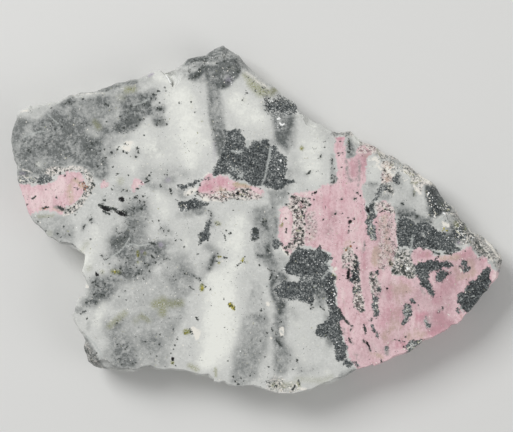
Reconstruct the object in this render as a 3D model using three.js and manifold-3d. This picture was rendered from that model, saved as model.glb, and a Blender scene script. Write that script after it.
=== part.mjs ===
// A hand specimen of pyroxmangite rock: a sawn slab with two flat faces and a broken, chipped rim.
// Millimetres, +Z up. The slab lies on its back face, at z = 0, with its shown face at the top.
// The origin is the middle of the slab's outline, on the back face.
import * as THREE from "three";
import { ImprovedNoise } from "three/addons/math/ImprovedNoise.js";
import { mergeVertices } from "three/addons/utils/BufferGeometryUtils.js";
import Module from "manifold-3d";

// Driving dimensions of the slab
const THICKNESS = 12;
const RIM_STEP = 2.1; // longest edge along the rim
const RIM_RAGGED = 0.22; // how far a broken edge strays between two corners
const CHIP_SLOPE = 1.15; // drop of a chipped edge for each millimetre of its width
const CHIP_RAGGED = 0.36; // share by which a chip's width varies from flake to flake
const EDGE_ROUND = 0.35; // drop at an edge with next to no chip
const HACKLE = 0.35; // roughness of a chip's surface
const WALL_ROUGH = 0.9; // roughness of the broken wall
const WALL_LEVELS = 6; // bands from the widest line down to the back face
const UNDERCUT = 2; // how far the wall leans in, on average, at the back face
const BACK_CHIP = 0.7; // mean width of the chips along the back face's edge

// Outline of the slab from above, clockwise from its left tip: the corners of the break
const RIM = [
  [-61.9, 19.8], [-61.1, 23.8], [-60.6, 26.2], [-59.8, 27.3], [-57.1, 28.7], [-56.5, 28.5],
  [-53.8, 29.1], [-52.1, 29.5], [-50.5, 29.4], [-48.3, 30.7], [-46.7, 31.4], [-46.0, 31.2],
  [-44.7, 32.0], [-43.2, 31.9], [-40.3, 32.3], [-37.0, 33.6], [-35.5, 34.4], [-33.3, 34.5],
  [-32.0, 35.1], [-30.0, 35.3], [-26.8, 37.0], [-25.4, 37.4], [-24.3, 37.4], [-23.3, 36.5],
  [-21.6, 37.3], [-19.0, 39.0], [-17.7, 40.3], [-16.2, 40.7], [-13.0, 41.2], [-11.5, 42.5],
  [-8.7, 43.8], [-5.9, 42.0], [-4.6, 41.3], [-1.9, 38.1], [0.3, 36.0], [1.7, 34.9],
  [3.9, 33.8], [6.3, 31.3], [7.8, 30.3], [8.6, 30.1], [9.9, 28.4], [10.3, 27.3],
  [12.2, 26.1], [14.2, 24.3], [15.9, 23.9], [18.5, 22.4], [20.4, 21.8], [22.2, 22.1],
  [23.5, 22.2], [26.5, 19.4], [27.8, 19.0], [29.5, 18.3], [32.2, 16.2], [33.6, 16.0],
  [35.0, 15.3], [36.3, 14.1], [38.4, 13.5], [41.2, 11.0], [43.4, 9.8], [44.9, 8.4],
  [46.2, 6.0], [47.8, 4.2], [50.2, 2.3], [51.3, -0.1], [52.6, -1.3], [54.0, -3.2],
  [56.7, -4.1], [57.9, -5.3], [59.1, -6.3], [61.3, -9.0], [61.7, -10.3], [60.2, -14.8],
  [58.6, -16.6], [57.6, -18.1], [56.0, -19.8], [53.0, -23.4], [52.1, -24.2], [51.3, -25.5],
  [50.0, -26.4], [48.7, -26.7], [47.7, -27.8], [44.0, -29.8], [41.6, -30.6], [38.7, -33.1],
  [37.1, -33.9], [35.8, -34.2], [31.6, -36.1], [29.2, -37.0], [28.9, -36.6], [27.2, -37.3],
  [25.6, -37.6], [22.4, -39.4], [18.5, -41.4], [14.7, -42.2], [13.7, -43.0], [9.2, -43.8],
  [5.2, -43.9], [1.4, -42.8], [-0.4, -42.1], [-2.2, -41.9], [-3.8, -42.2], [-5.8, -42.1],
  [-8.5, -40.9], [-9.9, -41.3], [-11.1, -41.0], [-11.1, -40.4], [-12.6, -39.4], [-14.4, -39.5],
  [-17.2, -38.5], [-21.8, -37.8], [-25.0, -38.0], [-26.7, -37.3], [-28.4, -37.4], [-30.0, -38.0],
  [-32.2, -38.5], [-38.2, -37.9], [-41.2, -37.0], [-42.8, -35.9], [-43.8, -32.2], [-43.4, -30.4],
  [-45.0, -28.0], [-46.7, -23.9], [-46.0, -23.1], [-45.6, -20.6], [-44.8, -19.5], [-43.0, -19.2],
  [-43.4, -17.3], [-42.9, -16.1], [-44.2, -13.2], [-43.5, -10.6], [-43.5, -9.1], [-44.7, -8.2],
  [-47.9, -6.6], [-49.6, -6.2], [-51.3, -5.0], [-52.5, -4.5], [-54.8, -1.9], [-56.0, -1.0],
  [-57.8, 2.1], [-59.2, 6.4], [-60.3, 10.0], [-60.3, 13.2], [-61.1, 15.1],
];

// Width of the chipped edge of the shown face, at places along the rim: x, y, width
const CHIPS = [
  [-61.9, 19.8, 0.6], [-59.8, 27.3, 0.9], [-50.5, 29.4, 0.8], [-43.2, 31.9, 1.3], [-35.5, 34.4, 1.9],
  [-30.0, 35.3, 1.3], [-24.3, 37.4, 0.4], [-21.6, 37.3, 0.9], [-16.2, 40.7, 2.3], [-8.7, 43.8, 2.8],
  [-1.9, 38.1, 2.2], [3.9, 33.8, 2.7], [8.6, 30.1, 3.2], [10.3, 27.3, 1.5], [18.5, 22.4, 1.3],
  [23.5, 22.2, 2.1], [32.2, 16.2, 2.3], [43.4, 9.8, 2.1], [50.2, 2.3, 2.9], [57.9, -5.3, 3.6],
  [61.7, -10.3, 2.2], [60.2, -14.8, 0.6], [53.0, -23.4, 0.35], [25.6, -37.6, 0.4], [20.4, -40.4, 0.8],
  [14.7, -42.2, 0.4], [-30.0, -38.0, 0.6], [-38.2, -37.9, 2.0], [-42.8, -35.9, 3.1], [-43.8, -32.2, 2.2],
  [-43.4, -30.4, 0.7], [-43.0, -19.2, 0.4], [-44.7, -8.2, 0.8], [-52.5, -4.5, 0.4], [-59.2, 6.4, 0.4],
];

// Open pits in the shown face: middle, half length, half width, depth and turn in degrees
const PITS = [
  { name: "long vug, west end", at: [-37.9, 2.5], half: [1.9, 0.5], depth: 1.5, turn: -25 },
  { name: "long vug, east end", at: [-34.1, 1.35], half: [1.8, 0.55], depth: 1.7, turn: -24 },
  { name: "round vug", at: [-34.0, 4.95], half: [0.85, 0.75], depth: 1.3, turn: 0 },
  { name: "rim vug", at: [-40.2, -13.8], half: [0.6, 0.5], depth: 1.1, turn: -40 },
  { name: "south hole", at: [-21.2, -35.1], half: [0.75, 0.42], depth: 1.4, turn: 80 },
  { name: "lined vug", at: [-16.5, -28.2], half: [0.7, 0.6], depth: 0.9, turn: 60 },
  { name: "pink vug", at: [23.1, -0.7], half: [0.8, 0.5], depth: 1.3, turn: 50 },
  { name: "slot", at: [22.7, -13.8], half: [1.9, 0.4], depth: 1.8, turn: 87 },
  { name: "low slot", at: [27.6, -31.3], half: [1.2, 0.3], depth: 1.0, turn: -63 },
  { name: "east pit", at: [27.6, 2.2], half: [1.1, 0.42], depth: 1.2, turn: -60 },
  { name: "lens vug", at: [-5.0, 6.45], half: [0.6, 0.45], depth: 1.0, turn: 35 },
  { name: "lens slit", at: [-4.8, 4.95], half: [0.6, 0.28], depth: 0.8, turn: -12 },
  { name: "pale pit", at: [11.2, 4.25], half: [0.42, 0.34], depth: 0.6, turn: -50 },
  { name: "pit beside the slot", at: [24.1, -14.1], half: [0.5, 0.24], depth: 0.6, turn: 75 },
  { name: "south-east pit", at: [24.95, -23.8], half: [0.4, 0.22], depth: 0.5, turn: -40 },
];
const PIT_SIDES = 10;
const PIT_BANDS = 4;
const PIT_RAGGED = 0.22; // share of a pit's half width

// Shallow flakes broken off the shown face. Each has a depth in the middle and an outline of x, y, depth.
// Where the depth is below zero the flake runs out on the face, and where it is above there is a step.
const SPALLS = [
  {
    name: "flake beside the notch",
    depth: 0.55,
    outline: [
      [-24.6, 38.6, 1.1], [-23.3, 36.5, 1.3], [-22.0, 35.4, 1.25], [-21.3, 34.2, 1.0], [-21.4, 33.2, 0.5],
      [-20.6, 32.6, -0.1], [-18.6, 34.4, -0.1], [-16.6, 37.6, 0.1], [-16.8, 41.8, 0.6], [-21.0, 39.6, 1.0],
    ],
  },
  {
    name: "rough hollow on the upper edge",
    depth: 0.75,
    outline: [
      [0.9, 31.9, -0.1], [1.8, 29.4, 0.25], [2.3, 27.2, 0.35], [4.0, 25.7, 0.3], [6.4, 25.0, 0.4],
      [8.9, 25.0, 0.25], [11.3, 25.8, 0.9], [11.6, 28.6, 1.6], [8.6, 31.8, 1.7], [5.2, 32.8, 1.0],
    ],
  },
];
const SPALL_STEP = 1.3;
const SPALL_BANDS = 4;
const SPALL_ROUGH = 0.32;
const ABOVE_FACE = 1; // how far a cutter stands above the face that it cuts

const perlin = new ImprovedNoise();
const smoothNoise = (x, y, z, size) => perlin.noise(x / size + 31.7, y / size + 17.3, z / size + 5.9);

// Rim points counter-clockwise, with the long stretches broken up a little raggedly.
function brokenRim() {
  const corners = RIM.map(([x, y]) => new THREE.Vector2(x, y)).reverse();
  const points = [];
  corners.forEach((a, i) => {
    const b = corners[(i + 1) % corners.length];
    const pieces = Math.ceil(a.distanceTo(b) / RIM_STEP);
    const across = b.clone().sub(a).normalize().rotateAround(new THREE.Vector2(), Math.PI / 2);
    for (let k = 0; k < pieces; k++) {
      const p = a.clone().lerp(b, k / pieces);
      if (k > 0) p.addScaledVector(across, RIM_RAGGED * 2 * smoothNoise(p.x, p.y, 0, 1.3));
      points.push(p);
    }
  });
  return points;
}

// Direction into the slab at each rim point, smoothed over the neighbours so that inset lines don't cross.
function inwardDirections(rim) {
  const reach = 3;
  const n = rim.length;
  return rim.map((_, i) => {
    const along = rim[(i + reach) % n].clone().sub(rim[(i - reach + n) % n]);
    return new THREE.Vector2(-along.y, along.x).normalize();
  });
}

// Chip width at each rim point, run along the rim from one listed place to the next, flake by flake.
function chipWidths(rim) {
  const n = rim.length;
  const placed = CHIPS.map(([x, y, width]) => {
    const gaps = rim.map((p) => p.distanceTo(new THREE.Vector2(x, y)));
    return { at: gaps.indexOf(Math.min(...gaps)), width };
  }).sort((a, b) => a.at - b.at);
  return rim.map((p, i) => {
    const next = placed.find((c) => c.at > i) ?? { at: placed[0].at + n, width: placed[0].width };
    const last = placed.findLast((c) => c.at <= i) ?? { at: placed.at(-1).at - n, width: placed.at(-1).width };
    const flake = 1 + CHIP_RAGGED * 2 * smoothNoise(p.x, p.y, 0, 3.4);
    return flake * THREE.MathUtils.mapLinear(i, last.at, next.at, last.width, next.width);
  });
}

// The slab's lines from the edge of the shown face down to the edge of the back face.
function slabRings() {
  const rim = brokenRim();
  const inward = inwardDirections(rim);
  const widths = chipWidths(rim);
  const place = (i, inset, z) => {
    const p = rim[i].clone().addScaledVector(inward[i], inset);
    return new THREE.Vector3(p.x, p.y, z);
  };
  const widestZ = rim.map((_, i) => THICKNESS - EDGE_ROUND - CHIP_SLOPE * widths[i]);
  const hackle = (p, z) => HACKLE * 2 * smoothNoise(p.x, p.y, z, 2.2);

  const faceEdge = rim.map((p, i) => place(i, widths[i] + 0.5 * hackle(p, THICKNESS), THICKNESS));
  const midChip = rim.map((p, i) => {
    const z = THICKNESS - 0.42 * (THICKNESS - widestZ[i]);
    return place(i, widths[i] * 0.42 + Math.min(widths[i], 1) * hackle(p, z), z);
  });
  const widest = rim.map((_, i) => place(i, 0, widestZ[i]));

  const walls = [];
  for (let k = 1; k <= WALL_LEVELS; k++) {
    const share = k / (WALL_LEVELS + 0.5);
    walls.push(
      rim.map((p, i) => {
        const z = widestZ[i] * (1 - share);
        const lean = UNDERCUT * share * (1 + 1.6 * smoothNoise(p.x, p.y, 0, 15));
        const lumps = smoothNoise(p.x, p.y, z, 6.5) + 0.6 * smoothNoise(p.x, p.y, z, 2.6);
        return place(i, Math.max(0, lean + WALL_ROUGH * 1.6 * lumps), z);
      })
    );
  }
  const backEdge = rim.map((p, i) => {
    const above = walls.at(-1)[i];
    const chip = BACK_CHIP * (1 + 1.4 * smoothNoise(p.x, p.y, 0, 4));
    return new THREE.Vector3(above.x + inward[i].x * chip, above.y + inward[i].y * chip, 0);
  });
  return [faceEdge, midChip, widest, ...walls, backEdge];
}

// One closed geometry from the rings: a flat face at the top and bottom, and a faceted wall between.
function slabGeometry() {
  const rings = slabRings();
  const n = rings[0].length;
  const positions = rings.flat().flatMap((p) => [p.x, p.y, p.z]);
  const faces = [];
  const flat = (ring) => ring.map((p) => new THREE.Vector2(p.x, p.y));
  for (const [a, b, c] of THREE.ShapeUtils.triangulateShape(flat(rings[0]), [])) faces.push(a, b, c);
  for (let k = 0; k + 1 < rings.length; k++) {
    for (let i = 0; i < n; i++) {
      const j = (i + 1) % n;
      const [a, b, c, d] = [k * n + i, k * n + j, (k + 1) * n + i, (k + 1) * n + j];
      if ((i + k) % 2) faces.push(a, c, b, b, c, d);
      else faces.push(a, c, d, a, d, b);
    }
  }
  const last = (rings.length - 1) * n;
  for (const [a, b, c] of THREE.ShapeUtils.triangulateShape(flat(rings.at(-1)), []))
    faces.push(last + a, last + c, last + b);
  const geometry = new THREE.BufferGeometry();
  geometry.setAttribute("position", new THREE.Float32BufferAttribute(positions, 3));
  geometry.setIndex(faces);
  return geometry;
}

// A ragged bowl that is cut into the shown face.
function pitGeometry({ at, half, depth, turn }) {
  const bowl = new THREE.SphereGeometry(1, PIT_SIDES, PIT_BANDS * 2);
  bowl.deleteAttribute("normal");
  bowl.deleteAttribute("uv");
  bowl.rotateX(Math.PI / 2);
  const place = bowl.getAttribute("position");
  for (let i = 0; i < place.count; i++) {
    const p = new THREE.Vector3().fromBufferAttribute(place, i);
    const swell = 1 + PIT_RAGGED * 2 * smoothNoise(p.x + at[0], p.y + at[1], p.z, 0.7);
    place.setXYZ(i, p.x * half[0] * swell, p.y * half[1] * swell, p.z * depth);
  }
  bowl.rotateZ(THREE.MathUtils.degToRad(turn));
  bowl.translate(at[0], at[1], THICKNESS);
  return bowl;
}

// A flake with a rough floor, closed above the shown face, that is cut out of the slab.
function spallGeometry({ depth, outline }) {
  const edge = [];
  outline.forEach(([x, y, drop], i) => {
    const [nextX, nextY, nextDrop] = outline[(i + 1) % outline.length];
    const pieces = Math.ceil(Math.hypot(nextX - x, nextY - y) / SPALL_STEP);
    for (let k = 0; k < pieces; k++) {
      const from = new THREE.Vector3(x, y, drop);
      edge.push(from.lerp(new THREE.Vector3(nextX, nextY, nextDrop), k / pieces));
    }
  });
  const n = edge.length;
  const middle = edge.reduce((sum, p) => sum.add(p), new THREE.Vector3()).divideScalar(n);
  middle.z = depth;
  const positions = [middle.x, middle.y, THICKNESS - depth, middle.x, middle.y, THICKNESS + ABOVE_FACE];
  for (let band = 1; band <= SPALL_BANDS; band++) {
    for (const p of edge) {
      const q = middle.clone().lerp(p, band / SPALL_BANDS);
      const rough = band < SPALL_BANDS ? SPALL_ROUGH * 2 * smoothNoise(q.x, q.y, 3, 1.7) : 0;
      positions.push(q.x, q.y, THICKNESS - q.z + rough);
    }
  }
  for (const p of edge) positions.push(p.x, p.y, THICKNESS + ABOVE_FACE);
  const at = (ring, i) => 2 + ring * n + (i % n);
  const faces = [];
  for (let i = 0; i < n; i++) {
    faces.push(0, at(0, i + 1), at(0, i));
    faces.push(1, at(SPALL_BANDS, i), at(SPALL_BANDS, i + 1));
    for (let ring = 0; ring < SPALL_BANDS; ring++) {
      faces.push(at(ring, i), at(ring, i + 1), at(ring + 1, i));
      faces.push(at(ring, i + 1), at(ring + 1, i + 1), at(ring + 1, i));
    }
  }
  const geometry = new THREE.BufferGeometry();
  geometry.setAttribute("position", new THREE.Float32BufferAttribute(positions, 3));
  geometry.setIndex(faces);
  return geometry;
}

const wasm = await Module();
wasm.setup();

function toSolid(geometry) {
  const merged = mergeVertices(geometry, 1e-4);
  return new wasm.Manifold(
    new wasm.Mesh({
      numProp: 3,
      vertProperties: merged.getAttribute("position").array,
      triVerts: new Uint32Array(merged.index.array),
    })
  );
}

function toGeometry(solid) {
  const mesh = solid.getMesh();
  const geometry = new THREE.BufferGeometry();
  geometry.setAttribute("position", new THREE.BufferAttribute(mesh.vertProperties, 3));
  geometry.setIndex(new THREE.BufferAttribute(mesh.triVerts, 1));
  geometry.computeVertexNormals();
  return geometry;
}

function slab() {
  let solid = toSolid(slabGeometry());
  for (const spall of SPALLS) solid = solid.subtract(toSolid(spallGeometry(spall)));
  for (const pit of PITS) solid = solid.subtract(toSolid(pitGeometry(pit)));
  const material = new THREE.MeshStandardMaterial({ color: 0xc9b9b9, roughness: 0.55, metalness: 0 });
  const mesh = new THREE.Mesh(toGeometry(solid), material);
  mesh.name = "slab";
  return mesh;
}

const specimen = new THREE.Group();
specimen.add(slab());

export default specimen;
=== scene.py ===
"""The looks of a sawn slab of pyroxmangite rock: milky quartz, pink pyroxmangite and dark ore.

The pattern of the shown face is drawn with outlines and brush strokes. They are stored on the mesh
as signed distances and soft amounts, and the rock's material breaks them up with noise at the scale of its
grains.
"""

import math
import random

import bmesh
import bpy
import numpy as np
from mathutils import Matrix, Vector, noise
from mathutils.geometry import delaunay_2d_cdt


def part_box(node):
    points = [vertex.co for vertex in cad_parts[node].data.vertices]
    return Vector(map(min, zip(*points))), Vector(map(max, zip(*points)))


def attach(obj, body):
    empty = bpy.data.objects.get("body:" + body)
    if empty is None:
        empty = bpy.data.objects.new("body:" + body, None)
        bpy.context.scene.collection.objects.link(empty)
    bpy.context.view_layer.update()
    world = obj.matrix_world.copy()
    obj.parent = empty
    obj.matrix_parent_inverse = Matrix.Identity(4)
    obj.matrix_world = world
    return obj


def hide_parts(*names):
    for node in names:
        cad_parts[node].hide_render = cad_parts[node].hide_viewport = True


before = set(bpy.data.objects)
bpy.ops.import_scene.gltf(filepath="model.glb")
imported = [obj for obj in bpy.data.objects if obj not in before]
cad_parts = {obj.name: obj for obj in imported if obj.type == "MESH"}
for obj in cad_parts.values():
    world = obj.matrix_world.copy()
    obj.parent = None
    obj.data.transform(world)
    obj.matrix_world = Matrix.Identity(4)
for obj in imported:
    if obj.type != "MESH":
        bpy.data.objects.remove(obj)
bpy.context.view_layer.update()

MM = 0.001
SLAB_LOW, SLAB_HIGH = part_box("slab")
FACE_Z = SLAB_HIGH.z
THICKNESS = (SLAB_HIGH.z - SLAB_LOW.z) / MM

# The mesh, in millimetres: the cells of the shown face and of the back, and the walls' longest edge
FACE_CELL = 0.37
BACK_CELL = 1.3
WALL_EDGE = 0.62
SPLIT_ROUNDS = 4
SAME_HEIGHT = 0.01
SAME_PLACE = 0.001

# The net of points on a flat face, in cells: its rows' height, its unevenness and its points' least gap
ROW_HEIGHT = 0.87
UNEVENNESS = 0.4
NET_GAP = 0.62
NET_SEED = 11
NET_TOLERANCE = 1e-5

# Mesh points for crisp dots, in millimetres: their least gap, their step along a chain, and the ring round
# each, whose size is a share of the dot's radius and whose turn is a share of a corner
DOT_GAP = 0.09
DOT_STEP = 0.32
RING_CORNERS = 6
RING_SIZE = 1.3
RING_TURN = 0.3

# The size of the cells in which neighbouring points are looked up, in millimetres
BUCKET = 0.1

# Roughness of the broken surfaces, in millimetres: size of the lumps and how far they stand
FRACTURE = [(2.3, 0.16), (0.9, 0.12), (0.42, 0.07)]
FRACTURE_PLACE = (3.1, 8.7)

# The share of the roughness that the rim of a sawn face has, and how far the walls stay from the two faces
RIM_SHARE = 0.4
CLEARANCE = 0.02

# How the pattern wanders with depth, in millimetres: how far at the back, how wide its turns are
# and how deep the shown face's own pattern reaches
DRIFT = 4.5
DRIFT_SIZE = 15.0
DRIFT_START = 2.5
ACROSS = Vector((0.0, 0.0, 7.3))
ALONG = Vector((31.7, 12.9, 7.3))

# How deep the crisp grains and the holes' shadows reach down from the shown face, in millimetres
GRAIN_DEPTH = 0.5
SHADOW_DEPTH = 4.5

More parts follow.
